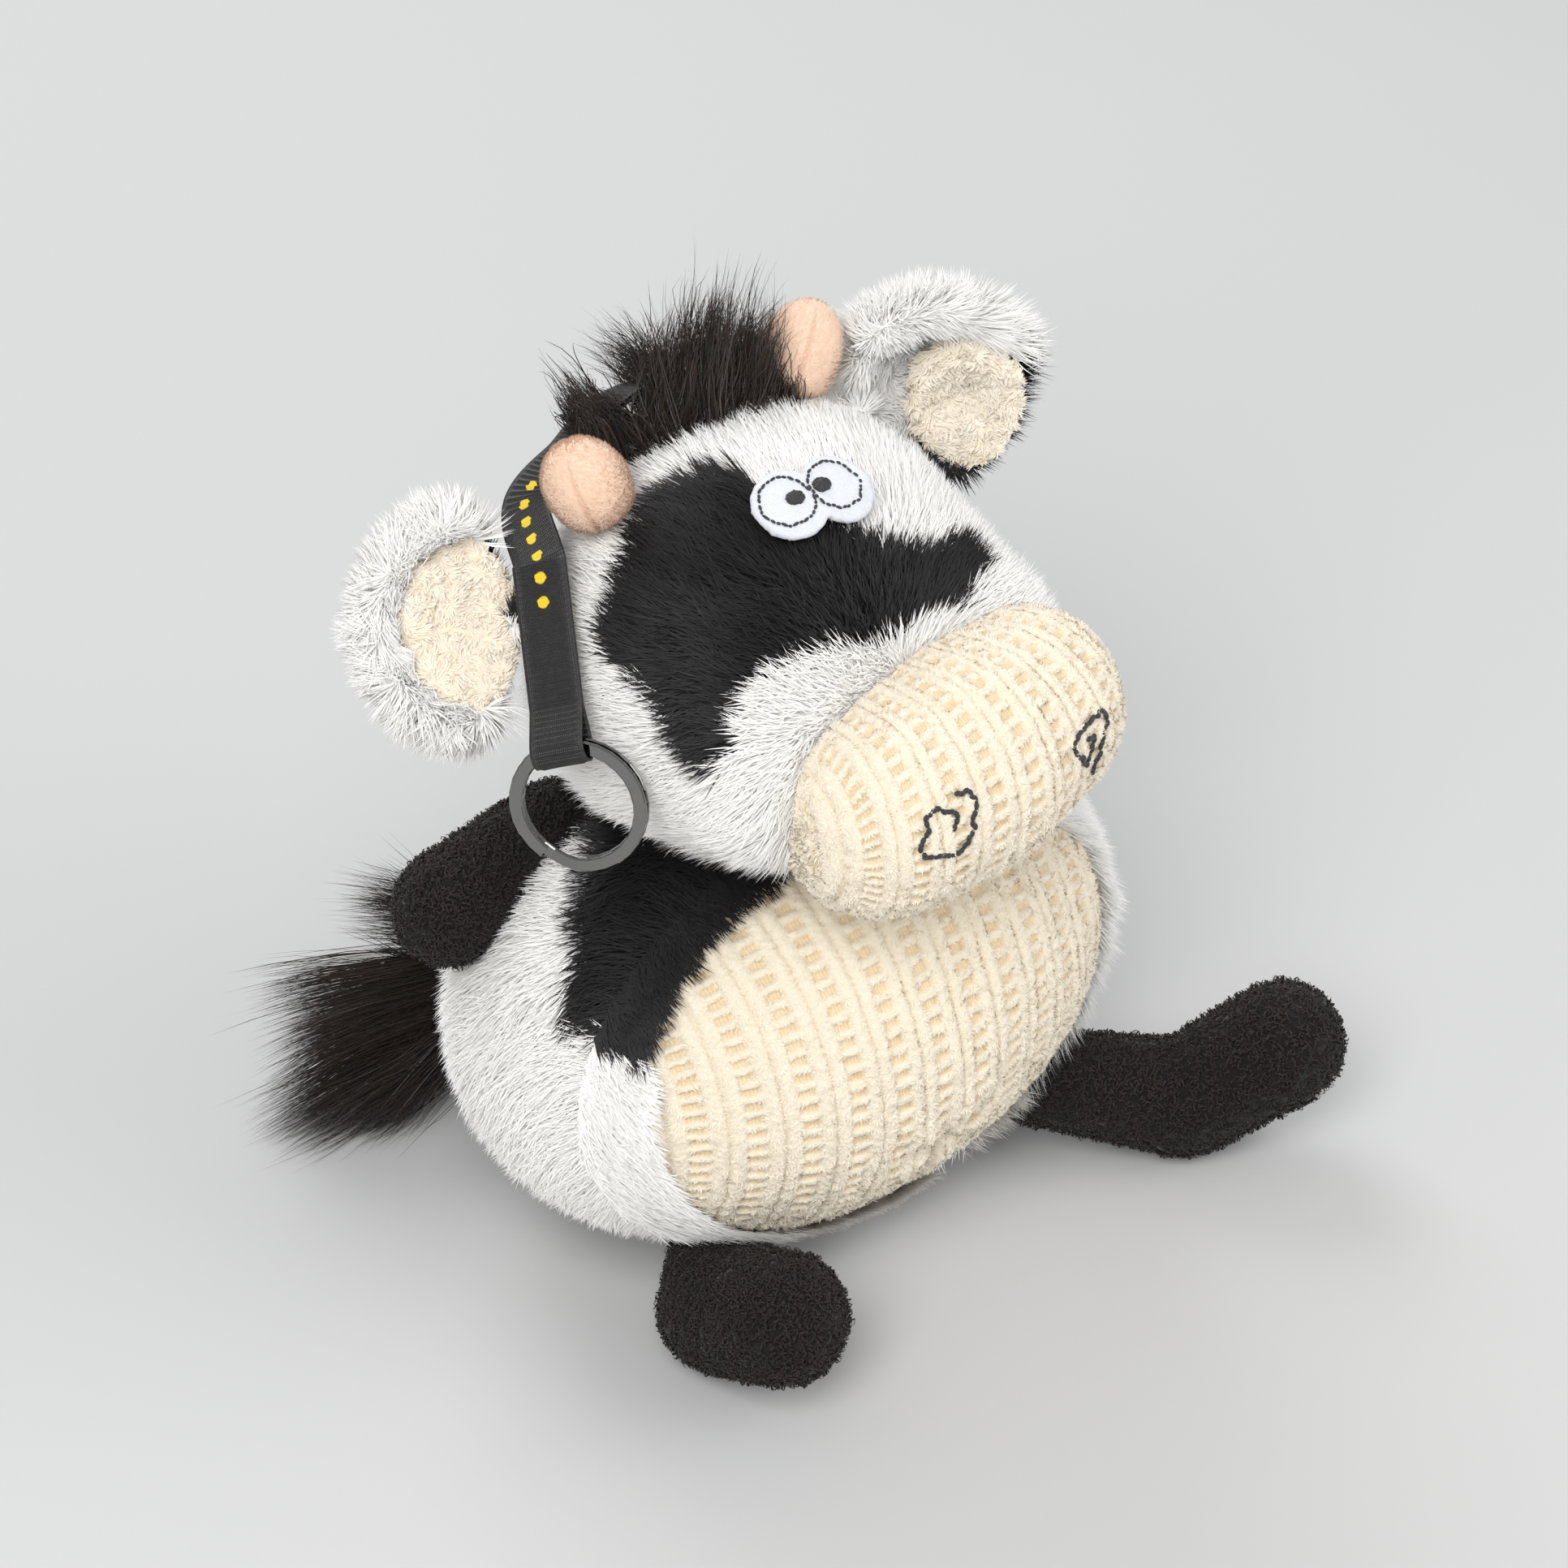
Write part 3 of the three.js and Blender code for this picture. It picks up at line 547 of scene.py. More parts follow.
def soften_normals(mesh, soft, share):
    """Turns the shading normals towards soft ones, as light spreads in deep pile."""
    own = normals_of(mesh)
    own *= np.where((own * soft).sum(1, keepdims=True) < 0, -1, 1)
    mixed = unit(own * (1 - share) + soft * share)
    mesh.polygons.foreach_set("use_smooth", np.ones(len(mesh.polygons), bool))
    mesh.normals_split_custom_set_from_vertices(mixed.tolist())


def lit(normals):
    """A way to the light for fibres on the sides that face it."""
    return smooth_step(normals @ TOWARD_LIGHT, -0.35, 0.15)[:, None] * TOWARD_LIGHT * 2.0 + (0.0, 0.0, 0.2)


def tangent(directions, normals):
    return unit(directions - (directions * normals).sum(1, keepdims=True) * normals)


def pile(
    name, skin, look, body, slot, count, seed, length, width, nap, keep=None, lean=(56, 80), clump=0.3,
    clump_size=3.2, segments=2, softness=0.85, limit=None, glow=None,
):
    """Leaning fibres over a skin. nap gives the way they lie, keep their places, and glow what they face."""
    rng = np.random.default_rng(seed)
    roots, normals = sampled(skin, count, rng)
    if keep is not None:
        kept = keep(roots, normals)
        roots, normals = roots[kept], normals[kept]
    total = len(roots)
    if not total:
        return
    way = tangent(nap(roots, normals), normals)
    side = np.cross(normals, way)
    swing = noise(roots, 9, seed) * 0.5 + rng.standard_normal(total) * 0.35
    way = unit(way * np.cos(swing)[:, None] + side * np.sin(swing)[:, None])
    angle = np.radians(rng.uniform(*lean, total))[:, None]
    lead = normals * np.cos(angle * 0.8) + way * np.sin(angle * 0.8)
    last = normals * np.cos(angle * 1.1) + way * np.sin(angle * 1.1)
    long = length(roots) if callable(length) else np.full(total, float(length))
    long = (long * rng.uniform(0.72, 1.1, total) * (1 + 0.12 * noise(roots, 4, seed + 7)))[:, None]
    tips = roots + long * (lead * 0.5 + last * 0.5)
    middles = rng.choice(total, max(int(total / (2.0 * clump_size**2)), 1), replace=False)
    tree = KDTree(len(middles))
    for index, place in enumerate(roots[middles]):
        tree.insert(place, index)
    tree.balance()
    nearest = middles[[tree.find(place)[1] for place in roots]]
    pull = (tips[nearest] - tips) * clump * rng.uniform(0.4, 1.0, (total, 1))
    tips = tips + pull * np.minimum(1, long / np.maximum(np.linalg.norm(pull, axis=1, keepdims=True), 1e-9))
    knees = roots + long * lead * 0.5 + pull * 0.15
    if limit is not None:
        knees, tips = limit(knees), limit(tips)
    corners, faces = fibre_form(segments)
    v = corners[:, 1][None, :, None]
    spine = roots[:, None] * (1 - v) ** 2 + knees[:, None] * (2 * v * (1 - v)) + tips[:, None] * v**2
    shone = np.tile((0.0, 0.0, 0.4), (total, 1)) if glow is None else glow(normals)
    broad = np.cross(tips - roots, normals + shone)
    twist = np.radians(rng.uniform(-25, 25, total))[:, None]
    broad = unit(unit(broad) * np.cos(twist) + normals * np.sin(twist))
    wide = width * rng.uniform(0.7, 1.3, (total, 1, 1)) * (1 - 0.7 * v)
    places = spine + broad[:, None] * corners[:, 0][None, :, None] * wide
    if limit is not None:
        places = limit(places.reshape(-1, 3)).reshape(places.shape)
    mesh = repeated(name, faces, places)
    # along runs from root to tip; the fibres' look paints the root end darker as shade.
    number_layer(mesh, "along", np.tile(corners[:, 1], total))
    number_layer(mesh, "tone", np.repeat(rng.random(total), len(corners)))
    soften_normals(mesh, np.repeat(unit(normals + shone), len(corners), axis=0), softness)
    place_piece(name, mesh, look, body, slot)


def loops(name, skin, look, body, slot, count, seed):
    """Short curled loops of yarn that stand on a skin."""
    rng = np.random.default_rng(seed)
    roots, normals = sampled(skin, count, rng)
    way = tangent(rng.standard_normal((count, 3)), normals)
    corners, faces = fibre_form(4, pointed=False)
    along = corners[:, 1][None, :, None]
    arc = along * LOOP_TURN * rng.uniform(0.7, 1.2, (count, 1, 1))
    bow = LOOP_RADIUS * rng.uniform(0.6, 1.5, (count, 1, 1))
    rise = (1 - np.cos(arc)) * bow * rng.uniform(0.6, 1.15, (count, 1, 1))
    broad = np.cross(normals, way)
    drift = along * LOOP_RADIUS * rng.uniform(-1.5, 1.5, (count, 1, 1))
    places = roots[:, None] + way[:, None] * np.sin(arc) * bow + normals[:, None] * (rise - 0.15)
    places = places + broad[:, None] * (drift + corners[:, 0][None, :, None] * LOOP_WIDTH)
    places[:, :, 2] = np.maximum(places[:, :, 2], 0.3)
    mesh = repeated(name, faces, places)
    # along is low at the loops' feet, which their look paints darker as shade.
    number_layer(mesh, "along", np.tile(np.sin(corners[:, 1] * math.pi), count))
    number_layer(mesh, "tone", np.repeat(rng.random(count), len(corners)))
    place_piece(name, mesh, look, body, slot)


# Materials


class Value:
    """A socket in a material, so that sums on it can be written plainly."""

    def __init__(self, look, socket):
        self.look, self.socket = look, socket

    def joined(self, operation, *values):
        sockets = {index: value for index, value in enumerate(values)}
        return self.look.add("ShaderNodeMath", {"operation": operation}, sockets)

    def __add__(self, other):
        return self.joined("ADD", self, other)

    def __sub__(self, other):
        return self.joined("SUBTRACT", self, other)

    def __rsub__(self, other):
        return self.joined("SUBTRACT", other, self)

    def __mul__(self, other):
        return self.joined("MULTIPLY", self, other)

    def __pow__(self, other):
        return self.joined("POWER", self, other)

    __radd__ = __add__
    __rmul__ = __mul__


class Look:
    """A material, its shader's fixed sockets and the nodes that feed the others."""

    def __init__(self, name, **fixed):
        self.material = bpy.data.materials.new(name)
        self.material.use_nodes = True
        self.tree = self.material.node_tree
        self.shader = self.tree.nodes["Principled BSDF"]
        for socket, value in fixed.items():
            self.shader.inputs[socket.replace("_", " ")].default_value = value

    def put(self, socket, value):
        if isinstance(value, Value):
            self.tree.links.new(value.socket, socket)
        else:
            socket.default_value = value

    def add(self, kind, settings=None, sockets=None, output=0):
        node = self.tree.nodes.new(kind)
        for key, value in (settings or {}).items():
            setattr(node, key, value)
        for key, value in (sockets or {}).items():
            self.put(node.inputs[key], value)
        return Value(self, node.outputs[output])

    def feed(self, socket, value):
        self.put(self.shader.inputs[socket], value)
        return self

    def place(self):
        return self.add("ShaderNodeTexCoord", output="Object")

    def layer(self, name):
        return self.add("ShaderNodeAttribute", {"attribute_name": name}, output="Fac")

    def noise(self, scale, detail=3.0, roughness=0.6):
        sockets = {"Vector": self.place(), "Scale": scale, "Detail": detail, "Roughness": roughness}
        return self.add("ShaderNodeTexNoise", None, sockets)

    def spread(self, value, low, high):
        """Stretches a value so that low gives 0 and high gives 1."""
        sockets = {"Value": value, "From Min": low, "From Max": high}
        return self.add("ShaderNodeMapRange", {"clamp": True}, sockets)

    def blend(self, factor, first, second):
        return self.add(
            "ShaderNodeMix", {"data_type": "RGBA"}, {"Factor": factor, 6: first, 7: second}, output=2
        )

    def bump(self, height, distance, strength=1.0):
        sockets = {"Height": height, "Distance": distance * MM, "Strength": strength}
        return self.feed("Normal", self.add("ShaderNodeBump", None, sockets))


def colour(values, share=1.0):
    return tuple(value * share for value in values) + (1.0,)


def pile_look(name, root, tip, odd, roughness, sheen=0.3):
    """Fibres that go from a darker root colour, painted shade at their roots, to a tip colour, each a little
    different.
    """
    look = Look(name, Roughness=roughness, Sheen_Weight=sheen, Specular_IOR_Level=0.25)
    # The darker root colour is painted shade deep in the pile.
    along = look.blend(look.layer("along"), colour(root), colour(tip))
    strayed = look.layer("tone") * 0.5 + look.spread(look.noise(90, 2), 0.35, 0.7) * 0.4
    return look.feed("Base Color", look.blend(strayed, along, colour(odd))).material


def skin_look(name, light, shade):
    look = Look(name, Roughness=0.95, Specular_IOR_Level=0.1)
    look.feed("Base Color", look.blend(look.layer("dark"), colour(light), colour(shade)))
    return look.bump(look.noise(1400, 2), 0.3).material


def knit_look(name, yarn, hollow_shade):
    """Chenille: soft bright wales, hollows painted darker and warmer as shade, and a short nap."""
    look = Look(name, Roughness=0.92, Sheen_Weight=0.35, Specular_IOR_Level=0.15)
    nap = look.noise(1900, 3, 0.7)
    patches = look.noise(140, 2)
    # Painted shade: the hollow colour fills the knit's holes, where its rise is low.
    tint = look.blend(look.layer("rise"), colour(hollow_shade), colour(yarn))
    ladder = look.add("ShaderNodeMath", {"operation": "SINE"}, {0: look.layer("wale") * (2 * math.pi * 14)})
    threads = look.spread(ladder, 0.1, 0.8) * (1 - look.layer("rise"))
    laced = look.blend(threads * 0.55, tint, colour(yarn))
    worn = look.blend(look.spread(nap, 0.35, 0.8) * 0.16, laced, colour(hollow_shade))
    look.feed("Base Color", look.blend(look.spread(patches, 0.35, 0.75) * 0.25, worn, colour(yarn)))
    return look.bump(nap + look.noise(5200, 2) * 0.4, 0.35, 0.9).material


def yarn_look(name, low, high, roughness, grain):
    """Looped or felted yarn, painted darker where its bump is low: painted shade in its hollows."""
    look = Look(name, Roughness=roughness, Sheen_Weight=0.25, Specular_IOR_Level=0.15)
    grains = look.noise(grain, 3, 0.7)
    # Painted shade: the low colour falls where the bump's grains are low, in the yarn's hollows.
    look.feed("Base Color", look.blend(look.spread(grains, 0.3, 0.7), colour(low), colour(high)))
    return look.bump(grains, 0.3, 0.9).material


def horn_look(name, tip, base):
    look = Look(name, Roughness=0.9, Sheen_Weight=0.4, Specular_IOR_Level=0.15)
    brushed = look.noise(900, 4, 0.65)
    # Painted shade: the darker base colour goes where low is high, towards the horn's foot and in its pressed seam.
    tint = look.blend(look.layer("low"), colour(tip), colour(base))
    look.feed("Base Color", look.blend(look.spread(brushed, 0.3, 0.75) * 0.25, tint, colour(base)))
    return look.bump(brushed + look.noise(4200, 2) * 0.5, 0.22, 0.8).material


def ribbon_look(name, weave, ink, pitch):
    """Woven ribbon: fine threads both ways between the ribs, valleys between the ribs painted near black as shade,
    and a row of plain dots.
    """
    look = Look(name, Roughness=0.42, Sheen_Weight=0.04, Specular_IOR_Level=0.5)
    parts = look.add("ShaderNodeSeparateXYZ", None, {0: look.add("ShaderNodeUVMap", {"uv_map": "band"})})
    node = parts.socket.node
    across, along = Value(look, node.outputs[0]), Value(look, node.outputs[1])
    threads = look.add("ShaderNodeMath", {"operation": "SINE"}, {0: across * 160.0})
    fine = look.add("ShaderNodeMath", {"operation": "SINE"}, {0: along * (2 * math.pi / WEFT_PITCH)})
    wear = look.noise(700, 3)
    worn = look.blend(look.spread(wear, 0.45, 0.8) * 0.5, colour(weave), colour((0.05, 0.047, 0.046)))
    # Painted shade: the valleys between the ribs, where rise is low, turn near black, which leaves the rib tops
    # lighter as a painted highlight.
    shaded = look.blend(look.layer("rise"), colour((0.002, 0.002, 0.002)), worn)
    step = look.add("ShaderNodeMath", {"operation": "PINGPONG"}, {0: along, 1: pitch / 2})
    offset = (across - 0.5) * RIBBON_WIDTH
    reach = (offset * offset + step * step) ** 0.5
    first, last = pitch * FIRST_DOT, pitch * LAST_DOT
    within = look.spread(along, first, first + 0.2) * look.spread(along, last, last - 0.2)
    dots = look.spread(reach, DOT_RADIUS + 0.15, DOT_RADIUS) * within
    look.feed("Base Color", look.blend(dots, shaded, colour(ink)))
    return look.bump(threads * 0.35 + fine * 0.35 + wear, 0.1, 0.6).material


def thread_look(name, low, high):
    look = Look(name, Roughness=0.5, Sheen_Weight=0.2)
    strands = look.noise(3200, 2, 0.5)
    look.feed("Base Color", look.blend(strands, colour(low), colour(high)))
    return look.bump(strands, 0.15, 0.7).material


def chrome_look(name, tint):
    look = Look(name, Metallic=1.0, Specular_IOR_Level=0.5)
    scuffs = look.noise(1600, 4, 0.7)
    look.feed("Base Color", look.blend(look.spread(scuffs, 0.55, 0.8) * 0.35, colour(tint), colour(tint, 0.7)))
    look.feed("Roughness", look.spread(look.noise(260, 3), 0.2, 0.9) * 0.14 + 0.06)
    return look.bump(scuffs, 0.02, 0.25).material


# Settings that a user would change


class PlushSizes(bpy.types.PropertyGroup):
    pile_length: bpy.props.FloatProperty(
        name="Pile length", description="Length of the fur's fibres, in millimetres", default=7.6, min=1, max=20
    )
    pile_width: bpy.props.FloatProperty(
        name="Fibre width", description="Width of one bundle of fibres, in millimetres",
        default=0.41, min=0.05, max=2,
    )
    skin_inset: bpy.props.FloatProperty(
        name="Skin depth", description="How deep the cloth lies under the pile's surface", default=3.7, min=0, max=8
    )
    wale_pitch: bpy.props.FloatProperty(
        name="Wale pitch", description="Distance between two rows of holes in the knit", default=9.2, min=2, max=20
    )
    course_pitch: bpy.props.FloatProperty(
        name="Course pitch", description="Distance between two holes in a row", default=3.5, min=1, max=20
    )
    rib_pitch: bpy.props.FloatProperty(
        name="Rib pitch", description="Distance between two ribs of the ribbon", default=1.12, min=0.3, max=4
    )
    stitch_length: bpy.props.FloatProperty(
        name="Stitch length", description="Length of one stitch of the eyes' outlines", default=1.0, min=0.3, max=4
    )


def colour_setting(label, default):
    description = f"Colour of the {label.lower()}"
    return bpy.props.FloatVectorProperty(
        name=label, description=description, subtype="COLOR", size=3, min=0, max=1, default=default
    )


class PlushColours(bpy.types.PropertyGroup):
    white: colour_setting("White pile", (0.95, 0.94, 0.92))
    black: colour_setting("Black pile", (0.009, 0.008, 0.009))
    # The knit hollows' colour is painted shade in the knit's holes.
    cream: colour_setting("Cream knit", (0.93, 0.84, 0.68))
    hollow_shade: colour_setting("Knit hollows", (0.82, 0.63, 0.37))
    terry: colour_setting("Ear lining", (0.93, 0.85, 0.71))
    boucle: colour_setting("Looped wool", (0.016, 0.013, 0.012))
    peach: colour_setting("Horn fleece", (0.93, 0.72, 0.56))
    felt: colour_setting("Eye felt", (0.80, 0.82, 0.86))
    ribbon: colour_setting("Ribbon", (0.019, 0.018, 0.018))
    ink: colour_setting("Ribbon dots", (0.85, 0.62, 0.02))
    metal: colour_setting("Ring", (0.21, 0.21, 0.2))


class PlushSettings(bpy.types.PropertyGroup):
    sizes: bpy.props.PointerProperty(type=PlushSizes, name="Sizes", description="Sizes of pile, knit and thread")
    colours: bpy.props.PointerProperty(type=PlushColours, name="Colours", description="Colours of the finishes")


def settings():
    plush = bpy.context.scene.plush_charm
    return plush.sizes, plush.colours


LOOKS = {}


def look_of(name):
    """Each finish, made once."""
    if name in LOOKS:
        return LOOKS[name]
    _, tones = settings()
    white, black = tuple(tones.white), tuple(tones.black)
    # In the fibres' looks the first colour is the darker root, painted shade deep in the pile.
    makers = {
        "white_pile": lambda: pile_look("white_pile", (0.92, 0.905, 0.88), white, (0.93, 0.91, 0.87), 0.8, 0.4),
        "black_pile": lambda: pile_look("black_pile", (0.004,) * 3, black, (0.02, 0.018, 0.019), 0.5, 0.03),
        "long_black": lambda: pile_look("long_black", (0.006, 0.005, 0.004), black, (0.05, 0.031, 0.02), 0.42, 0.1),
        "skin": lambda: skin_look("skin", (0.93, 0.92, 0.90), black),
        "knit": lambda: knit_look("knit", tuple(tones.cream), tuple(tones.hollow_shade)),
        # The first colour of terry, bouclé and felt is painted shade in their hollows.
        "terry": lambda: yarn_look("terry", (0.88, 0.76, 0.58), tuple(tones.terry), 0.95, 1500),
        "terry_loops": lambda: pile_look(
            "terry_loops", (0.90, 0.80, 0.63), tuple(tones.terry), (0.94, 0.88, 0.78), 0.9
        ),
        "knit_nap": lambda: pile_look(
            "knit_nap", tuple(tones.cream), (0.95, 0.885, 0.76), (0.93, 0.84, 0.68), 0.95
        ),
        "boucle": lambda: yarn_look("boucle", (0.005, 0.004, 0.004), tuple(tones.boucle), 0.85, 1300),
        "boucle_loops": lambda: pile_look(
            "boucle_loops", (0.005, 0.004, 0.004), (0.016, 0.011, 0.010), (0.030, 0.020, 0.017), 0.7, 0.08
        ),
        # The horn's second colour is painted shade at its foot and in its seam.
        "horn": lambda: horn_look("horn", tuple(tones.peach), (0.76, 0.46, 0.29)),
        "horn_nap": lambda: pile_look(
            "horn_nap", (0.88, 0.61, 0.44), (0.95, 0.76, 0.61), (0.92, 0.68, 0.51), 0.9, 0.5
        ),
        "felt": lambda: yarn_look("felt", (0.71, 0.73, 0.79), tuple(tones.felt), 0.95, 2600),
        "ribbon": lambda: ribbon_look("ribbon", tuple(tones.ribbon), tuple(tones.ink), DOT_PITCH),
        "thread": lambda: thread_look("thread", (0.006, 0.006, 0.006), (0.03, 0.03, 0.03)),
        "chrome": lambda: chrome_look("chrome", tuple(tones.metal)),
    }
    LOOKS[name] = makers[name]()
    return LOOKS[name]


# Forms that more than one piece uses


def on_floor(points):
    points = points.copy()
    points[..., 2] = np.maximum(points[..., 2], 0.35)
    return points


def knit_height(across, along):
    """Height of the waffle knit: two wales between rows of holes, and bars across the holes."""
    s = np.abs((across + 0.5) % 1 - 0.5) * 2
    t = along % 1
    wale = np.sqrt(np.clip(1 - ((s - 0.68) / 0.35) ** 2, 0, 1))
    groove = 1 - 0.45 * smooth_step(s, 0.88, 1.0)
    twist = 0.9 + 0.1 * np.cos(4 * math.pi * (t + s))
    bar = smooth_step(np.cos(2 * math.pi * t), -0.3, 0.35)
    in_row = 1 - smooth_step(s, 0.3, 0.46)
    return np.maximum(np.maximum(wale, 0.55 * (s > 0.68)) * groove * twist, in_row * bar * 0.72)


def knitted(mesh, across, along, depth):
    """Presses the knit's wales, bars and holes into a mesh."""
    points, normals = points_of(mesh), normals_of(mesh)
    height = knit_height(across, along)
    shag = 0.13 * noise(points, 1.3, 21) + 0.09 * noise(points, 0.7, 22)
    set_points(mesh, points + normals * ((height - 0.75) * depth + shag * depth)[:, None])
    # rise is low in the knit's holes, where the knit's look paints shade.
    number_layer(mesh, "rise", smooth_step(height, 0.02, 0.5))
    number_layer(mesh, "wale", across)


def skin_piece(name, mesh, body, replaces, patches):
    """The cloth under the pile, dark where its pile is."""
    number_layer(mesh, "dark", dark(points_of(mesh), patches) * 1.0)
    place_piece(name, mesh, look_of("skin"), body, "white_fur", replaces)


def fur(name, skin, body, count, seed, nap, patches, allowed=None, length=None, width=None, **manner):
    """White and black pile over one skin, parted at its patches."""
    sizes, _ = settings()
    for shade, look, slot in (("white", "white_pile", "white_fur"), ("black", "black_pile", "black_pile")):
        wanted = shade == "black"
        if wanted and not patches:
            continue

        def keep(points, normals, wanted=wanted):
            held = dark(points, patches) == wanted
            return held if allowed is None else held & allowed(points, normals)

        pile(
            f"{name}_{shade}", skin, look_of(look), body, slot, count, seed + wanted, length or sizes.pile_length,
            width or sizes.pile_width, nap, keep, **manner,
        )


def behind_seam(points):
    """How far points lie behind the seam between the fur and the belly's knit."""
    return (points - np.array(SEAM_PLACE)) @ np.array(SEAM_FACING)


def lap_reach(points):
    """How far in front of the seam the fur is rooted over the knit, on the cow's right."""
    return LAP_REACH * np.exp(-(((points[:, 2] - LAP_HEIGHT) / LAP_SPREAD) ** 2))


def knit_nap(name, mesh, body, weave, count, seed):
    """A short soft nap on the knit's yarn, and none in its holes."""

    def keep(points, normals):
        return (knit_height(*weave(points)) > 0.35) & (behind_seam(points) < 2.3)

    def whorls(points, normals):
        return np.stack([noise(points, 1.6, salt) for salt in (51, 52, 53)], 1)

    pile(
        name, mesh, look_of("knit_nap"), body, "cream_knit", count, seed, 0.85, 0.26, whorls, keep, lean=(40, 80),
        clump=0.25, clump_size=1.5, segments=1, softness=0.95,
    )


class PLUSH_OT_torso(bpy.types.Operator):
    """Makes the torso's cloth and its white and black pile"""

    bl_idname = "plush.torso"
    bl_label = "Torso"

    def execute(self, context):
        sizes, _ = settings()
        bm = bmesh.new()
        add_ball(bm, TORSO_CENTRE, TORSO_HALF - sizes.skin_inset, 6)
        keep_side(bm, SEAM_PLACE, -SEAM_FACING)
        skin = mesh_from(bm, "torso_skin")
        set_points(skin, points_of(skin) + normals_of(skin) * (0.5 * noise(points_of(skin), 14, 4))[:, None])

        def seam_band(low, high, inset):
            bm = bmesh.new()
            add_ball(bm, TORSO_CENTRE, TORSO_HALF - inset, 5)
            keep_side(bm, SEAM_PLACE + SEAM_FACING * low, -SEAM_FACING, False)
            keep_side(bm, SEAM_PLACE + SEAM_FACING * high, SEAM_FACING, False)
            return mesh_from(bm, "seam_band")

        def lapped(points, normals):
            return (behind_seam(points) > -lap_reach(points)) & (points[:, 0] < LAP_END)

        def forward(points, normals):
            return np.array([0.0, -1.0, -0.35]) + 0 * points

        fur(
            "seam_pile", seam_band(*SEAM_BAND), "torso", FIBRES["seam"], 110, forward, TORSO_PATCHES, lapped,
            length=6.4, lean=(66, 82), limit=on_floor,
        )

        def swept(points, normals):
            return np.array([0.3, -0.7, -0.6]) + 0 * points

        def fading(points):
            return RIM_LENGTH - RIM_FADE * smooth_step(behind_seam(points), 2, 10)

        fur(
            "rim_pile", seam_band(*RIM_BAND), "torso", FIBRES["rim"], 120, swept, TORSO_PATCHES,
            lambda p, n: p[:, 0] > RIM_START, length=fading, lean=(26, 62), limit=on_floor, softness=0.6,
        )

        def nap(points, normals):
            near = (1 - smooth_step(behind_seam(points), 2, 14))[:, None]
            return np.array([0.0, 0.25, -1.0]) + near * (0, 1.1, 0.2)

        def allowed(points, normals):
            return behind_seam(points) > 0.02

        def limit(points):
            least = np.where(points[..., 0] < LAP_END, -5.0, -0.9)
            over = np.maximum(0, least - behind_seam(points))[..., None]
            return on_floor(points + over * np.array(SEAM_FACING))

        fur("torso_pile", skin, "torso", FIBRES["torso"], 100, nap, TORSO_PATCHES, allowed, limit=limit)
        skin_piece("torso_skin", skin, "torso", ("torso_fur_cover", "torso_stuffing"), TORSO_PATCHES)
        return {"FINISHED"}


class PLUSH_OT_belly(bpy.types.Operator):
    """Makes the knitted front of the torso, with its pucker"""

    bl_idname = "plush.belly"
    bl_label = "Belly"

    def execute(self, context):
        sizes, _ = settings()
        bm = bmesh.new()
        add_ball(bm, TORSO_CENTRE, TORSO_HALF - BELLY_INSET, 8)
        keep_side(bm, SEAM_PLACE + SEAM_FACING * BELLY_TUCK, SEAM_FACING)
        mesh = mesh_from(bm, "belly_knit")
        points = points_of(mesh)
        normals = normals_of(mesh)
        away = points - PUCKER
        far = np.linalg.norm(away, axis=1)
        angle = np.arctan2(away[:, 2], away[:, 0])
        folds = np.cos(angle * PUCKER_FOLDS + 0.6) * np.exp(-((far - 7) / 7) ** 2) * 0.8
        dent = -PUCKER_DEPTH * np.exp(-((far / PUCKER_RADIUS) ** 2)) + folds + 0.7 * noise(points, 22, 9)
        covered = smooth_step(behind_seam(points) + lap_reach(points), 0.5, 3.5) * smooth_step(-points[:, 0], -5, 0)
        set_points(mesh, points + normals * (dent - LAP_PRESS * covered)[:, None])

        def weave(points):
            turn = np.arctan2(points[:, 2] - TORSO_CENTRE[2], -points[:, 1])
            return points[:, 0] / sizes.wale_pitch + 0.27, turn * BELLY_TURN / sizes.course_pitch

        knitted(mesh, *weave(points), KNIT_DEPTHS["belly"])
        knit_nap("belly_nap", mesh, "torso", weave, FIBRES["belly nap"], 150)
        place_piece("belly_knit", mesh, look_of("knit"), "torso", "cream_knit", ("belly_panel",))
        return {"FINISHED"}


class PLUSH_OT_neck(bpy.types.Operator):
    """Makes the neck with the pile that fills the seam"""

    bl_idname = "plush.neck"
    bl_label = "Neck"

    def execute(self, context):
        bm = bmesh.new()
        add_ball(bm, NECK_CENTRE, (NECK_RADIUS,) * 3, 4)
        keep_side(bm, Vector((0, 0, NECK_CUT)), Vector((0, 0, -1)))
        skin = mesh_from(bm, "neck_skin")

        def nap(points, normals):
            return np.array([0.0, 0.0, -1.0]) + points * (0.02, 0.02, 0)

        def allowed(points, normals):
            return np.abs(points[:, 2] - NECK_CENTRE[2]) < NECK_BAND

        fur("neck_pile", skin, "neck", FIBRES["neck"], 140, nap, [], allowed, length=NECK_PILE)
        skin_piece("neck_skin", skin, "neck", ("neck_stuffing",), [])
        return {"FINISHED"}


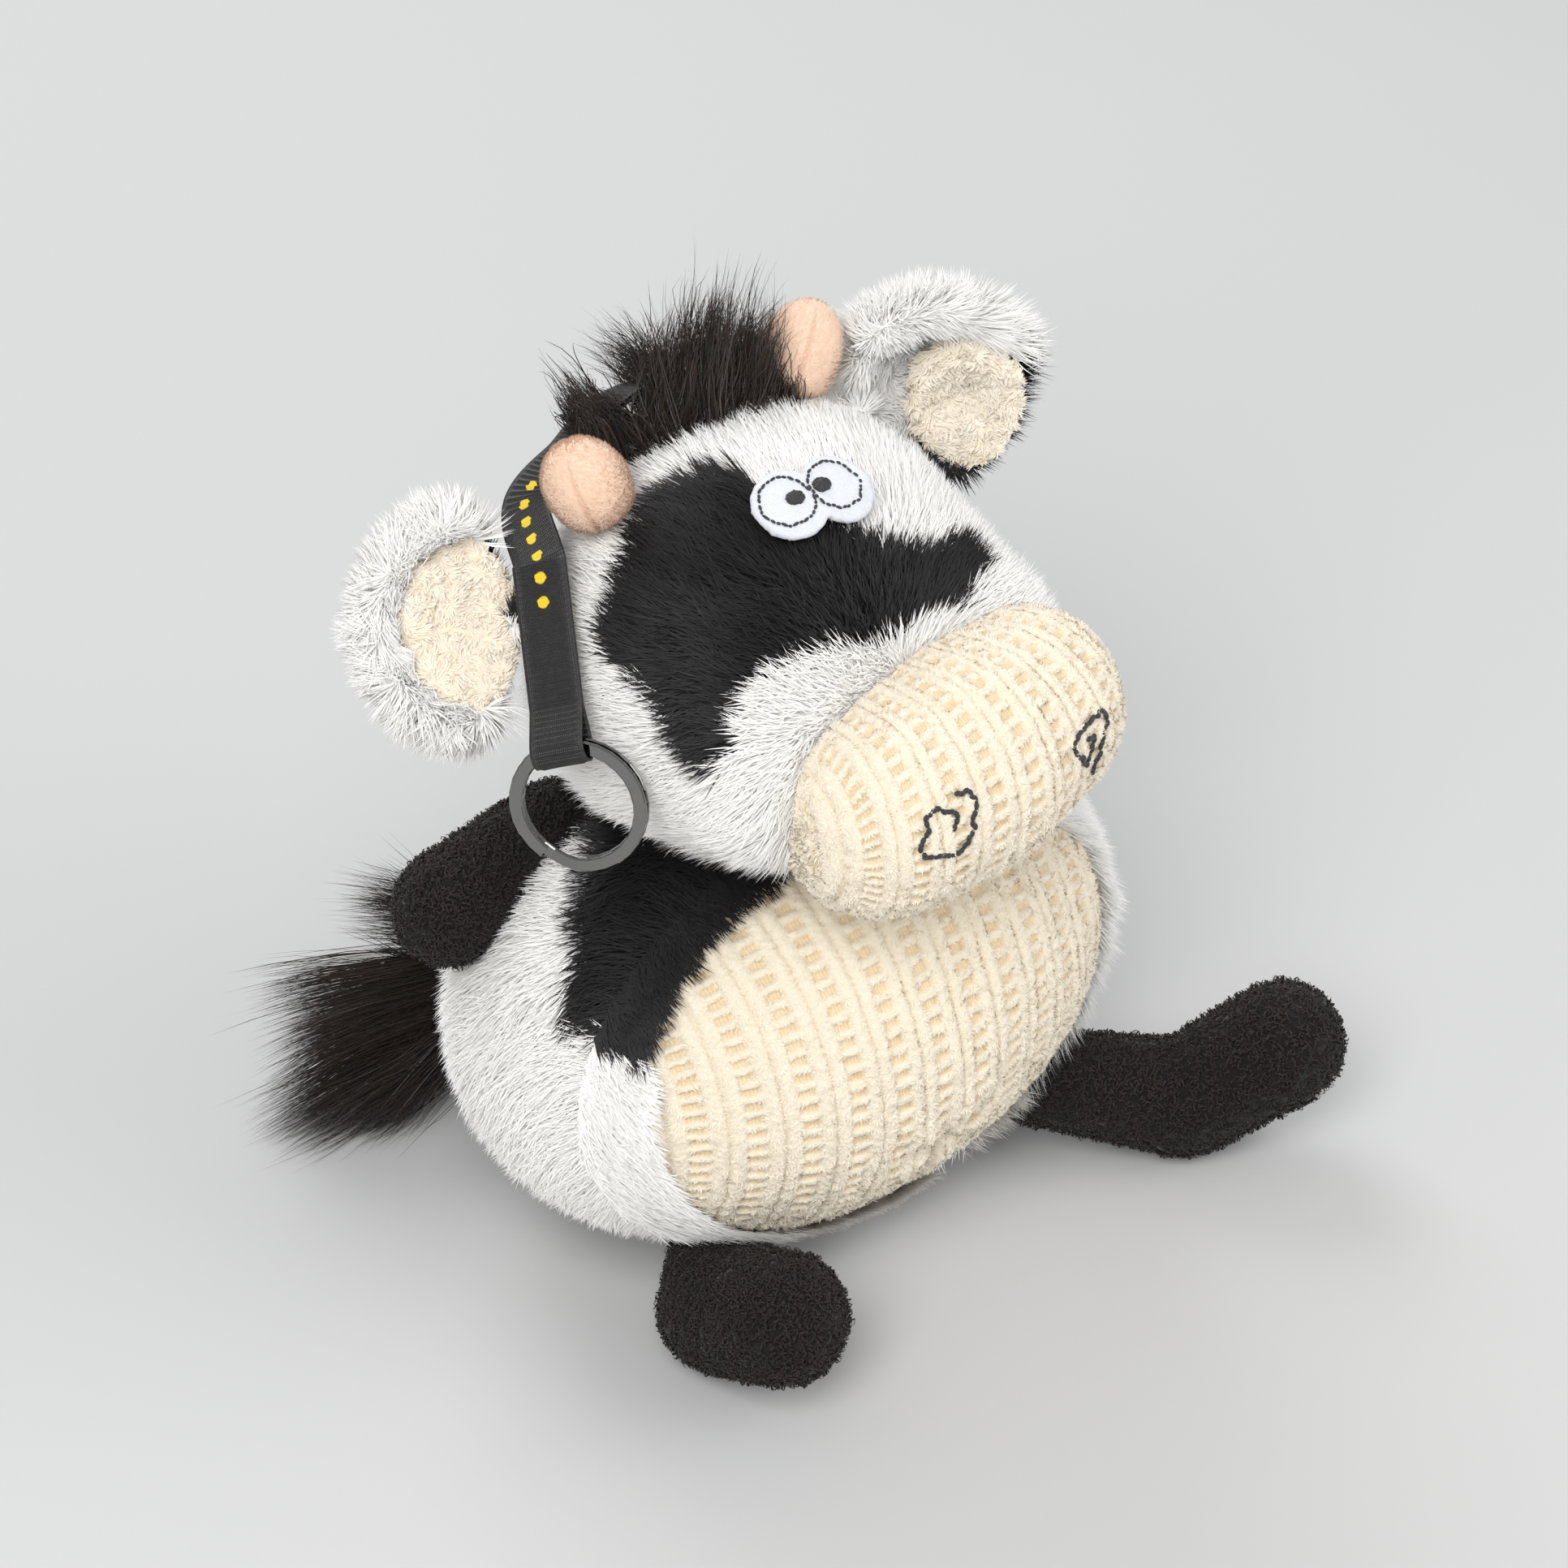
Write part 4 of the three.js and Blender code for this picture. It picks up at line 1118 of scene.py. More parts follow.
class PLUSH_OT_head(bpy.types.Operator):
    """Makes the head's cloth and its white and black pile"""

    bl_idname = "plush.head"
    bl_label = "Head"

    def execute(self, context):
        sizes, _ = settings()
        skin = remeshed(mesh_from(hull_of("head_fur_cover"), "head_skin"), voxel=1.7, smooth=8)
        grown(skin, -sizes.skin_inset)
        clear_of_torso(skin)
        eyes = [np.array(place) for place in EYES.values()]

        def nap(points, normals):
            down = np.array([0.0, 0.0, -1.0]) * smooth_step(points[:, 1], 0, 30)[:, None]
            return points - MUZZLE_CENTRE + np.array([0.0, 0.0, -14.0]) + down * 70

        def length(points):
            near = np.minimum(*(np.linalg.norm(points - eye, axis=1) for eye in eyes))
            return sizes.pile_length * (0.62 + 0.38 * smooth_step(near, 6, 13))

        def allowed(points, normals):
            near = np.minimum(*(np.linalg.norm(points - eye, axis=1) for eye in eyes))
            return near > EYE_CLEARANCE

        fur(
            "head_pile", skin, "head", FIBRES["head"], 200, nap, HEAD_PATCHES, allowed, length=length,
            limit=over_torso,
        )
        skin_piece("head_skin", skin, "head", ("head_fur_cover", "head_stuffing"), HEAD_PATCHES)
        return {"FINISHED"}


def over_torso(points, gap=1.2):
    """Lifts points that come closer to the torso's dome than a gap."""
    points = points.copy()
    away = points - TORSO_CENTRE
    wide = TORSO_HALF[0] + gap
    share = 1 - (away[..., 0] ** 2 + away[..., 1] ** 2) / wide**2
    dome = TORSO_CENTRE[2] + (TORSO_HALF[2] + gap) * np.sqrt(np.maximum(share, 0))
    points[..., 2] = np.where(share > 0, np.maximum(points[..., 2], dome), points[..., 2])
    return points


def clear_of_torso(mesh):
    set_points(mesh, over_torso(points_of(mesh), NECK_GAP))
    smoothed = shaped(mesh, ("SMOOTH", {"factor": 0.5, "iterations": 1}))
    set_points(mesh, points_of(smoothed))


class PLUSH_OT_muzzle(bpy.types.Operator):
    """Makes the knitted muzzle and its stitched nostrils"""

    bl_idname = "plush.muzzle"
    bl_label = "Muzzle"

    def execute(self, context):
        sizes, _ = settings()
        hull = mesh_from(hull_of("muzzle_cover", "muzzle_stuffing"), "muzzle_knit")
        base = stuffed(grown(remeshed(hull, voxel=0.95, smooth=6), -0.4), cap=0.8)
        mesh = subdivided(base)
        surface = surface_of(base)

        def weave(points):
            c, s = math.cos(HEAD_YAW), math.sin(HEAD_YAW)
            across = points[:, 0] * c + points[:, 1] * s
            back = points[:, 1] * c - points[:, 0] * s
            turn = np.arctan2(points[:, 2] - MUZZLE_CENTRE[2], -(back + 40))
            ways = across + 0.5 * np.tanh(across / 30) * (back + 61)
            return ways / sizes.wale_pitch + 0.1, turn * MUZZLE_TURN / sizes.course_pitch

        knitted(mesh, *weave(points_of(mesh)), KNIT_DEPTHS["muzzle"])
        knit_nap("muzzle_nap", mesh, "head", weave, FIBRES["muzzle nap"], 160)
        knit = place_piece(
            "muzzle_knit", mesh, look_of("knit"), "head", "cream_knit", ("muzzle_cover", "muzzle_stuffing")
        )
        toward = Vector(CAMERA_BACK).normalized()
        for side, line in NOSTRIL_LINES.items():
            path = []
            for dx, dy in eased(line, 8):
                start = Vector(NOSTRILS[side]) + Vector(CAMERA_RIGHT) * dx + Vector(CAMERA_UP) * dy
                found = surface.ray_cast(start + toward * 40, -toward)[0]
                if found:
                    path.append(tuple(found))
            rng = np.random.default_rng(31)
            stitches(f"nostril_thread_{side}", path, surface, "head", "cream_knit", rng, **NOSTRIL_STITCH)
        return {"FINISHED"}


def stitches(name, path, surface, body, slot, rng, length, thick, gap, stray=0.08):
    """Short raised stitches of thread along a path laid on a surface."""
    path = np.array(path)
    steps = np.linalg.norm(np.diff(path, axis=0), axis=1)
    place = np.concatenate([[0], np.cumsum(steps)])
    bm = bmesh.new()
    start = 0.0
    while start + length < place[-1]:
        ends = []
        for at in (start, start + length):
            point = np.array([np.interp(at, place, path[:, k]) for k in range(3)])
            found, normal, _, _ = surface.find_nearest(Vector(point))
            ends.append((found, normal))
        way = ends[1][0] - ends[0][0]
        normal = (ends[0][1] + ends[1][1]).normalized()
        middle = (ends[0][0] + ends[1][0]) / 2 + normal * thick * 0.45
        middle += Vector(rng.uniform(-stray, stray, 3))
        side = normal.cross(way).normalized()
        turn = Matrix((way.normalized(), side, way.normalized().cross(side))).transposed().to_4x4()
        turn = turn @ Matrix.Rotation(float(rng.uniform(-0.25, 0.25)), 4, "Z")
        size = Matrix.Diagonal(((way.length / 2 + thick * 0.3) * MM, thick * MM, thick * 0.8 * MM, 1))
        matrix = Matrix.Translation(middle * MM) @ turn @ size
        bmesh.ops.create_uvsphere(bm, u_segments=8, v_segments=6, radius=1, matrix=matrix)
        start += length + gap
    place_piece(name, mesh_from(bm, name), look_of("thread"), body, slot)


class PLUSH_OT_horns(bpy.types.Operator):
    """Makes the two fleece horns with their seams and pleats"""

    bl_idname = "plush.horns"
    bl_label = "Horns"

    def execute(self, context):
        for side, sign in (("right", -1), ("left", 1)):
            nodes = (f"horn_cover_{side}", f"horn_stuffing_{side}")
            mesh = subdivided(remeshed(mesh_from(hull_of(*nodes), f"horn_{side}"), voxel=0.8, smooth=16))
            grown(mesh, 0.25)
            points = points_of(mesh)
            normals = normals_of(mesh)
            middle = points.mean(0)
            lean = unit(turned((sign * math.sin(HORN_LEAN), 0.0, math.cos(HORN_LEAN))))
            away = points - middle
            high = away @ lean
            flat = unit(away - high[:, None] * lean)
            seam_way = unit(np.cross(lean, turned((0.75, -0.66, 0.0))))
            turn = np.arctan2(flat @ np.cross(lean, seam_way), flat @ seam_way)
            seam = np.exp(-((np.sin(turn) / 0.07) ** 2))
            pleats = np.cos(turn * 17 + 1.5 * noise(points, 5, 41)) * smooth_step(-high, 1, 6)
            shift = -0.55 * seam + 0.07 * pleats + 0.15 * noise(points, 3.5, 42)
            set_points(mesh, points + normals * shift[:, None])
            # low marks the horn's foot and its pressed seam, which the horn's look paints darker as shade.
            number_layer(mesh, "low", np.clip(smooth_step(-high, 2.5, 8.5) + 0.5 * seam, 0, 1))
            horn = place_piece(f"horn_{side}", mesh, look_of("horn"), "head", "peach_fleece", nodes)
            pile(
                f"horn_nap_{side}", mesh, look_of("horn_nap"), "head", "peach_fleece", FIBRES["horn nap"],
                50 + sign, 0.9, 0.16, lambda p, n, lean=lean: lean + 0 * p, lean=(35, 80), clump=0.1,
                clump_size=1.5, segments=1, keep=lambda p, n, middle=middle, lean=lean: (p - middle) @ lean > -6,
            )
        return {"FINISHED"}


class PLUSH_OT_eyes(bpy.types.Operator):
    """Makes the felt figure, the stitched outlines and the pupils"""

    bl_idname = "plush.eyes"
    bl_label = "Eyes"

    def execute(self, context):
        sizes, _ = settings()
        mesh = remeshed(mesh_from(copy_of("eye_felt"), "eye_felt_figure"), voxel=0.42, smooth=3)
        points = points_of(mesh)
        set_points(mesh, points + normals_of(mesh) * (0.14 * noise(points, 1.2, 61) + 0.2)[:, None])
        surface = surface_of(mesh)
        place_piece("eye_felt_figure", mesh, look_of("felt"), "head", "white_felt", ("eye_felt",))
        facing = unit(np.array(EYE_FACING))
        flat = unit(np.cross((0, 1, 0), facing))
        up = np.cross(facing, flat)
        for side, middle in EYES.items():
            rng = np.random.default_rng(71)
            path = [
                np.array(middle) + facing * 2 + EYE_STITCH_RADIUS * (flat * math.cos(a) + up * math.sin(a))
                for a in np.linspace(0, 2 * math.pi, 60)
            ]
            stitches(
                f"eye_thread_{side}", path, surface, "head", "white_felt", rng, sizes.stitch_length, **EYE_STITCH
            )
            found, normal, _, _ = surface.find_nearest(Vector(np.array(PUPILS[side]) + facing * 2))
            bm = bmesh.new()
            turn = normal.to_track_quat("Z", "Y").to_matrix().to_4x4()
            size = Matrix.Diagonal((*(Vector(PUPIL_HALF) * MM), 1))
            matrix = Matrix.Translation((found + normal * 0.1) * MM) @ turn @ size
            bmesh.ops.create_icosphere(bm, subdivisions=5, radius=1, matrix=matrix)
            pupil = mesh_from(bm, f"pupil_{side}")
            points = points_of(pupil)
            satin = 0.07 * np.cos((points @ unit(flat + 0.4 * up)) * 2 * math.pi / 0.42)
            rough = 0.14 * noise(points, 0.5, 63)
            set_points(pupil, points + normals_of(pupil) * (satin + rough)[:, None])
            place_piece(f"pupil_{side}", pupil, look_of("thread"), "head", "white_felt")
        return {"FINISHED"}


class PLUSH_OT_ears(bpy.types.Operator):
    """Makes the ears: a furred leaf and a looped lining each"""

    bl_idname = "plush.ears"
    bl_label = "Ears"

    def execute(self, context):
        for side, sign in (("right", -1), ("left", 1)):
            body = f"ear_{side}"
            skin = mesh_from(copy_of(f"ear_back_{side}"), f"ear_skin_{side}")
            skin = remeshed(skin, voxel=0.9, smooth=6)
            lining = mesh_from(copy_of(f"ear_lining_{side}"), f"ear_lining_{side}")
            lining = remeshed(lining, voxel=0.5, smooth=5)
            root = np.array(EAR_ROOTS[side])
            face = unit(turned(EAR_FACES[side]))
            narrowed(skin, root, face, *EAR_SHARES[side])
            points = points_of(lining)
            if side == "left":
                points = points.mean(0) + (points - points.mean(0)) * FAR_LINING_SHARE
                points += np.array(CAMERA_RIGHT) * FAR_LINING_ASIDE - np.array(CAMERA_UP) * FAR_LINING_DOWN
            fold = points.mean(0) + np.array([-1.0, 0.0, 1.0])
            dent = np.exp(-(np.linalg.norm(points - fold, axis=1) / 5.5) ** 2)
            swell = 0.5 * noise(points, 2.2, 81) + 0.45 * noise(points, 1.2, 82) + 0.9
            set_points(lining, points)
            set_points(lining, points + normals_of(lining) * swell[:, None] - face * 2.2 * dent[:, None])
            tree = KDTree(len(lining.vertices))
            for index, place in enumerate(flattened(points_of(lining), face)):
                tree.insert(place, index)
            tree.balance()
            middle = points_of(skin).mean(0)

            def allowed(points, normals, face=face, tree=tree):
                gap = np.array([tree.find(place)[2] for place in flattened(points, face)])
                return (gap > 0.5) | (normals @ face < 0.1)

            def nap(points, normals, middle=middle, root=root, face=face):
                spread = (points - middle) * 1.0 + (points - root) * 0.5
                inner = (normals @ face > 0.2)[:, None]
                stray = np.stack([noise(points, 3.0, salt) for salt in (86, 87, 88)], 1) * 14
                return np.where(inner, spread * 0.35 + stray, spread - face * 3)

            def length(points, middle=middle, root=root, side=side):
                away = points - middle
                turn = np.arctan2(away @ np.array(CAMERA_UP), away @ np.array(CAMERA_RIGHT))
                tip = 3.5 * np.exp(-(((turn - 0.45) / 0.45) ** 2)) if side == "left" else 0
                near = 1 - smooth_step(np.linalg.norm(points - root, axis=1), 4, 10)
                return 4.4 + (3.6 + tip) * smooth_step(np.linalg.norm(away, axis=1), 8, 17) - 1.8 * near

            patches = [EarShade(middle, face) if side == "left" else EarRootShade(root)]
            fur(
                f"ear_pile_{side}", skin, body, FIBRES["ear"], 300 + sign, nap, patches, allowed, length=length,
                width=0.36, lean=(30, 68), clump=0.4, clump_size=2.6, softness=0.7, glow=lit,
            )
            skin_piece(f"ear_skin_{side}", skin, body, (f"ear_back_{side}",), patches)

            def curls(points, normals):
                return np.stack([noise(points, 1.9, salt) for salt in (83, 84, 85)], 1)

            pile(
                f"ear_curls_{side}", lining, look_of("terry_loops"), body, "cream_terry", FIBRES["ear curls"],
                320 + sign, 1.9, 0.42, curls, lambda p, n, face=face: n @ face > -0.4, lean=(35, 95),
                clump=0.55, clump_size=1.6, softness=0.6, glow=lit,
            )
            place_piece(
                f"ear_terry_{side}", lining, look_of("terry"), body, "cream_terry", (f"ear_lining_{side}",)
            )
        return {"FINISHED"}


def flattened(points, face):
    return points - (points @ face)[:, None] * face


def narrowed(mesh, root, face, across, up):
    """Draws an ear's skin in towards its root, so that its pile ends at the leaf's edge."""
    away = points_of(mesh) - root
    flat = flattened(away, face)
    side = unit(np.cross(CAMERA_UP, face))
    wide = (flat @ side)[:, None] * side
    set_points(mesh, root + away - flat + wide * across + (flat - wide) * up)


class EarShade:
    """The dark outer and lower edge behind an ear."""

    def __init__(self, middle, face):
        self.middle, self.face = middle, face

    def holds(self, points):
        away = points - self.middle
        x, y = away @ np.array(CAMERA_RIGHT), away @ np.array(CAMERA_UP)
        lower = (np.arctan2(y, x) < 0.2) & (np.arctan2(y, x) > -1.7)
        return lower & ((np.hypot(x, y) > 9) | (away @ self.face < -1.0))


class EarRootShade:
    """A few dark fibres at an ear's root."""

    def __init__(self, root):
        self.root = root

    def holds(self, points):
        away = points - self.root
        return (np.linalg.norm(away, axis=1) < 13) & (away[:, 2] > 2.0)


def limb(name, nodes, stuffing, body, count, seed):
    """A bouclé limb: a puffed skin with nubs, and loops of yarn on it."""
    base = remeshed(mesh_from(copy_of(stuffing), name), voxel=1.0, smooth=6)
    base = stuffed(grown(base, 1.5), cap=0.7)
    mesh = subdivided(base)
    points = points_of(mesh)
    nubs = 0.55 * np.abs(noise(points, 2.3, seed)) + 0.35 * noise(points, 1.3, seed + 1)
    set_points(mesh, on_floor(points + normals_of(mesh) * nubs[:, None]))
    place_piece(name, mesh, look_of("boucle"), body, "black_boucle", nodes)
    loops(f"{name}_loops", mesh, look_of("boucle_loops"), body, "black_boucle", count, seed)


class PLUSH_OT_arms(bpy.types.Operator):
    """Makes the two looped wool arms"""

    bl_idname = "plush.arms"
    bl_label = "Arms"

    def execute(self, context):
        for index, side in enumerate(("right", "left")):
            nodes = (f"arm_cover_{side}", f"arm_stuffing_{side}")
            limb(f"arm_{side}", nodes, nodes[1], f"arm_{side}", FIBRES["arm loops"], 400 + index)
        return {"FINISHED"}


class PLUSH_OT_legs(bpy.types.Operator):
    """Makes the two looped wool legs with their feet"""

    bl_idname = "plush.legs"
    bl_label = "Legs"

    def execute(self, context):
        for index, side in enumerate(("right", "left")):
            nodes = (f"leg_cover_{side}", f"leg_stuffing_{side}")
            limb(f"leg_{side}", nodes, nodes[1], f"leg_{side}", FIBRES["leg loops"], 420 + index)
        return {"FINISHED"}


def strands(name, starts, ends, bows, body, width, seed, replaces, frizz):
    """Long fibres from start to end places, each with its own bow and frizz."""
    rng = np.random.default_rng(seed)
    total = len(starts)
    corners, faces = fibre_form(6)
    v = corners[:, 1][None, :, None]
    middles = (starts + ends) / 2 + bows
    spine = starts[:, None] * (1 - v) ** 2 + middles[:, None] * (2 * v * (1 - v)) + ends[:, None] * v**2
    wave = np.sin(v * rng.uniform(3, 8, (total, 1, 1)) + rng.uniform(0, 6.3, (total, 1, 1)))
    stray = unit(rng.standard_normal((total, 1, 3))) * frizz * rng.uniform(0.1, 0.6, (total, 1, 1))
    spine = spine + stray * wave * v
    way = unit(ends - starts)
    broad = unit(np.cross(way, rng.standard_normal((total, 3))))
    wide = width * rng.uniform(0.6, 1.3, (total, 1, 1)) * (1 - 0.75 * v)
    places = on_floor(spine + broad[:, None] * corners[:, 0][None, :, None] * wide)
    mesh = repeated(name, faces, places)
    # along runs from root to tip; the strands' look paints the roots darker as shade.
    number_layer(mesh, "along", np.tile(corners[:, 1], total))
    number_layer(mesh, "tone", np.repeat(rng.random(total), len(corners)))
    place_piece(name, mesh, look_of("long_black"), body, "black_pile", replaces)


class PLUSH_OT_hair(bpy.types.Operator):
    """Makes the long black hair between the horns"""

    bl_idname = "plush.hair"
    bl_label = "Hair"

    def execute(self, context):
        rng = np.random.default_rng(500)
        starts, ends, bows = [], [], []
        for number, (across, back, up, *lean) in enumerate(LOCKS):
            root = on_head(across, back, up)
            tip = turned(np.array(lean)) * HAIR_LENGTH
            for _ in range(TUFTS_PER_LOCK):
                way = tip * rng.uniform(0.6, 0.98) + rng.normal(0, 2.8, 3)
                place = root + rng.normal(0, 2.4, 3) * (1, 1, 0.35)
                start = place + rng.normal(0, 1.5, (STRANDS_PER_LOCK, 3)) - np.array([0, 0, 1.5])
                reach = 0.35 + 0.65 * rng.random((STRANDS_PER_LOCK, 1)) ** 1.6
                spread = rng.normal(0, 1.7, (STRANDS_PER_LOCK, 3)) * reach
                starts.append(start)
                ends.append(start + way * reach + spread)
                bows.append(np.repeat(rng.normal(0, 3.6, (1, 3)), STRANDS_PER_LOCK, 0) + [0, 0, 2.6])
        low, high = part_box("hair_tuft")
        low, high = np.array(low) / MM - 3, np.array(high) / MM + 1
        ends = np.clip(np.concatenate(ends), low, high)
        strands(
            "hair", np.concatenate(starts), ends, np.concatenate(bows), "head", HAIR_WIDTH, 501, ("hair_tuft",),
            frizz=3.6,
        )
        return {"FINISHED"}


class PLUSH_OT_tail(bpy.types.Operator):
    """Makes the swept brush of the tail"""

    bl_idname = "plush.tail"
    bl_label = "Tail"

    def execute(self, context):
        rng = np.random.default_rng(600)
        starts, ends, bows = [], [], []
        for tip in TAIL_TIPS:
            for _ in range(TUFTS_PER_TIP):
                begin = rng.uniform(0.0, 0.75)
                root = TAIL_ROOT + (TAIL_BELLY - TAIL_ROOT) * begin
                swell = 2.0 + 6.5 * begin
                place = root + rng.normal(0, 1, 3) * swell * (0.5, 0.5, 0.7)
                aim = np.array(tip) + rng.normal(0, 4.0, 3)
                reach = rng.uniform(0.45, 1.05)
                start = place + rng.normal(0, 1.8, (STRANDS_PER_LOCK, 3))
                far = (place + (aim - place) * reach) + rng.normal(0, 3.3, (STRANDS_PER_LOCK, 3))
                starts.append(start)
                ends.append(far)
                bows.append(np.repeat(rng.normal(0, 2.5, (1, 3)), STRANDS_PER_LOCK, 0) + [-2, 3, 3])
        strands(
            "tail_brush", np.concatenate(starts), np.concatenate(ends), np.concatenate(bows), "tail", TAIL_WIDTH,
            601, ("tail",), frizz=2.5,
        )
        return {"FINISHED"}


def eased(values, steps):
    """A smooth curve through given rows of numbers."""
    values = np.array(values, float)
    padded = np.vstack([2 * values[0] - values[1], values, 2 * values[-1] - values[-2]])
    rows = []
    for k in range(len(values) - 1):
        a, b, c, d = padded[k : k + 4]
        for t in np.linspace(0, 1, steps, endpoint=False):
            rows.append(
                0.5 * (2 * b + (c - a) * t + (2 * a - 5 * b + 4 * c - d) * t**2 + (3 * b - a - 3 * c + d) * t**3)
            )
    rows.append(values[-1])
    return np.array(rows)


class PLUSH_OT_ribbon(bpy.types.Operator):
    """Makes the doubled ribbed ribbon, folded round the ring's wire"""

    bl_idname = "plush.ribbon"
    bl_label = "Ribbon"

    def execute(self, context):
        sizes, _ = settings()
        joints = {joint["name"]: joint for joint in frame["joints"]}
        hinge = np.array(joints["ribbon_swing"]["pos_m"]) / MM
        fold = np.array(joints["ring_swing"]["pos_m"]) / MM
        across = unit(np.array(joints["ribbon_swing"]["axis"]))
        down = unit(fold - hinge)
        facing = np.cross(down, across)
        crown = eased([on_head(*row[:3]) for row in RIBBON_ROUTE], 24)
        crown += hinge - crown[-1]
        outward = unit(eased([turned(row[3:]) for row in RIBBON_ROUTE], 24))
        if facing @ outward[-1] < 0:
            facing, across = -facing, -across
        hang = hinge + (fold - hinge) * np.linspace(0, 0.78, 70)[1:, None]
        line = np.vstack([crown, hang])
        facings = np.vstack([outward, np.repeat(facing[None], len(hang), 0)])
        circle = [
            fold + RIBBON_FOLD_RADIUS * (facing * math.sin(a) - down * math.cos(a))
            for a in np.linspace(RIBBON_FOLD_START, 2 * math.pi - RIBBON_FOLD_START, 60)
        ]
        path = np.vstack([line + facings * RIBBON_HALF_GAP, circle, (line - facings * RIBBON_HALF_GAP)[::-1]])
        away = unit(np.gradient(line, axis=0))
        sides = unit(np.cross(facings, away))
        sides[(sides @ across) < 0] *= -1
        wide_ways = np.vstack([sides, np.repeat(across[None], len(circle), 0), sides[::-1]])
        place = np.concatenate([[0], np.cumsum(np.linalg.norm(np.diff(path, axis=0), axis=1))])
        steps = int(place[-1] / (sizes.rib_pitch / 6))
        even = np.linspace(0, place[-1], steps)
        path = np.stack([np.interp(even, place, path[:, k]) for k in range(3)], 1)
        wide_ways = unit(np.stack([np.interp(even, place, wide_ways[:, k]) for k in range(3)], 1))
        for _ in range(6):
            path[1:-1] = (path[:-2] + 2 * path[1:-1] + path[2:]) / 4
        tangents = unit(np.gradient(path, axis=0))
        outs = unit(np.cross(wide_ways, tangents))
        bm = bmesh.new()
        bmesh.ops.create_grid(bm, x_segments=RIBBON_COLUMNS, y_segments=steps - 1, size=0.5)
        uv = bm.loops.layers.uv.new("band")
        rise = bm.verts.layers.float.new("rise")
        for vert in bm.verts:
            share = vert.co.x + 0.5
            row = int(round((vert.co.y + 0.5) * (steps - 1)))
            edge = abs(share - 0.5) * 2
            wave = math.cos(2 * math.pi * even[row] / sizes.rib_pitch) if edge < 0.84 else 0.3
            cup = 0.12 * (1 - edge**2)
            raised = outs[row] * (RIB_HEIGHT * wave + cup)
            point = path[row] + wide_ways[row] * (share - 0.5) * RIBBON_WIDTH + raised
            # rise is low in the valleys between the ribs, which the ribbon's look paints near black as shade.
            vert[rise] = min(1, 0.75 + 0.6 * wave)
            for loop in vert.link_loops:
                loop[uv].uv = (share, even[row])
            vert.co = Vector(point) * MM
        bmesh.ops.solidify(bm, geom=bm.faces[:], thickness=RIBBON_THICKNESS * MM)
        bmesh.ops.recalc_face_normals(bm, faces=bm.faces[:])
        mesh = mesh_from(bm, "ribbon_band")
        band = place_piece(
            "ribbon_band", mesh, look_of("ribbon"), None, "black_ribbon", ("ribbon_upper", "ribbon_lower")
        )
        above, below = hinge - down * RIBBON_BEND, hinge + down * RIBBON_BEND
        tuple(above * MM)
        tuple(below * MM)
        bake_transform(band)
        return {"FINISHED"}


class PLUSH_OT_ring(bpy.types.Operator):
    """Gives the split ring its plated finish"""

    bl_idname = "plush.ring"
    bl_label = "Ring"

    def execute(self, context):
        ring = frame["nodes"]["split_ring"]
        ring.data.materials.clear()
        ring.data.materials.append(look_of("chrome"))
        return {"FINISHED"}


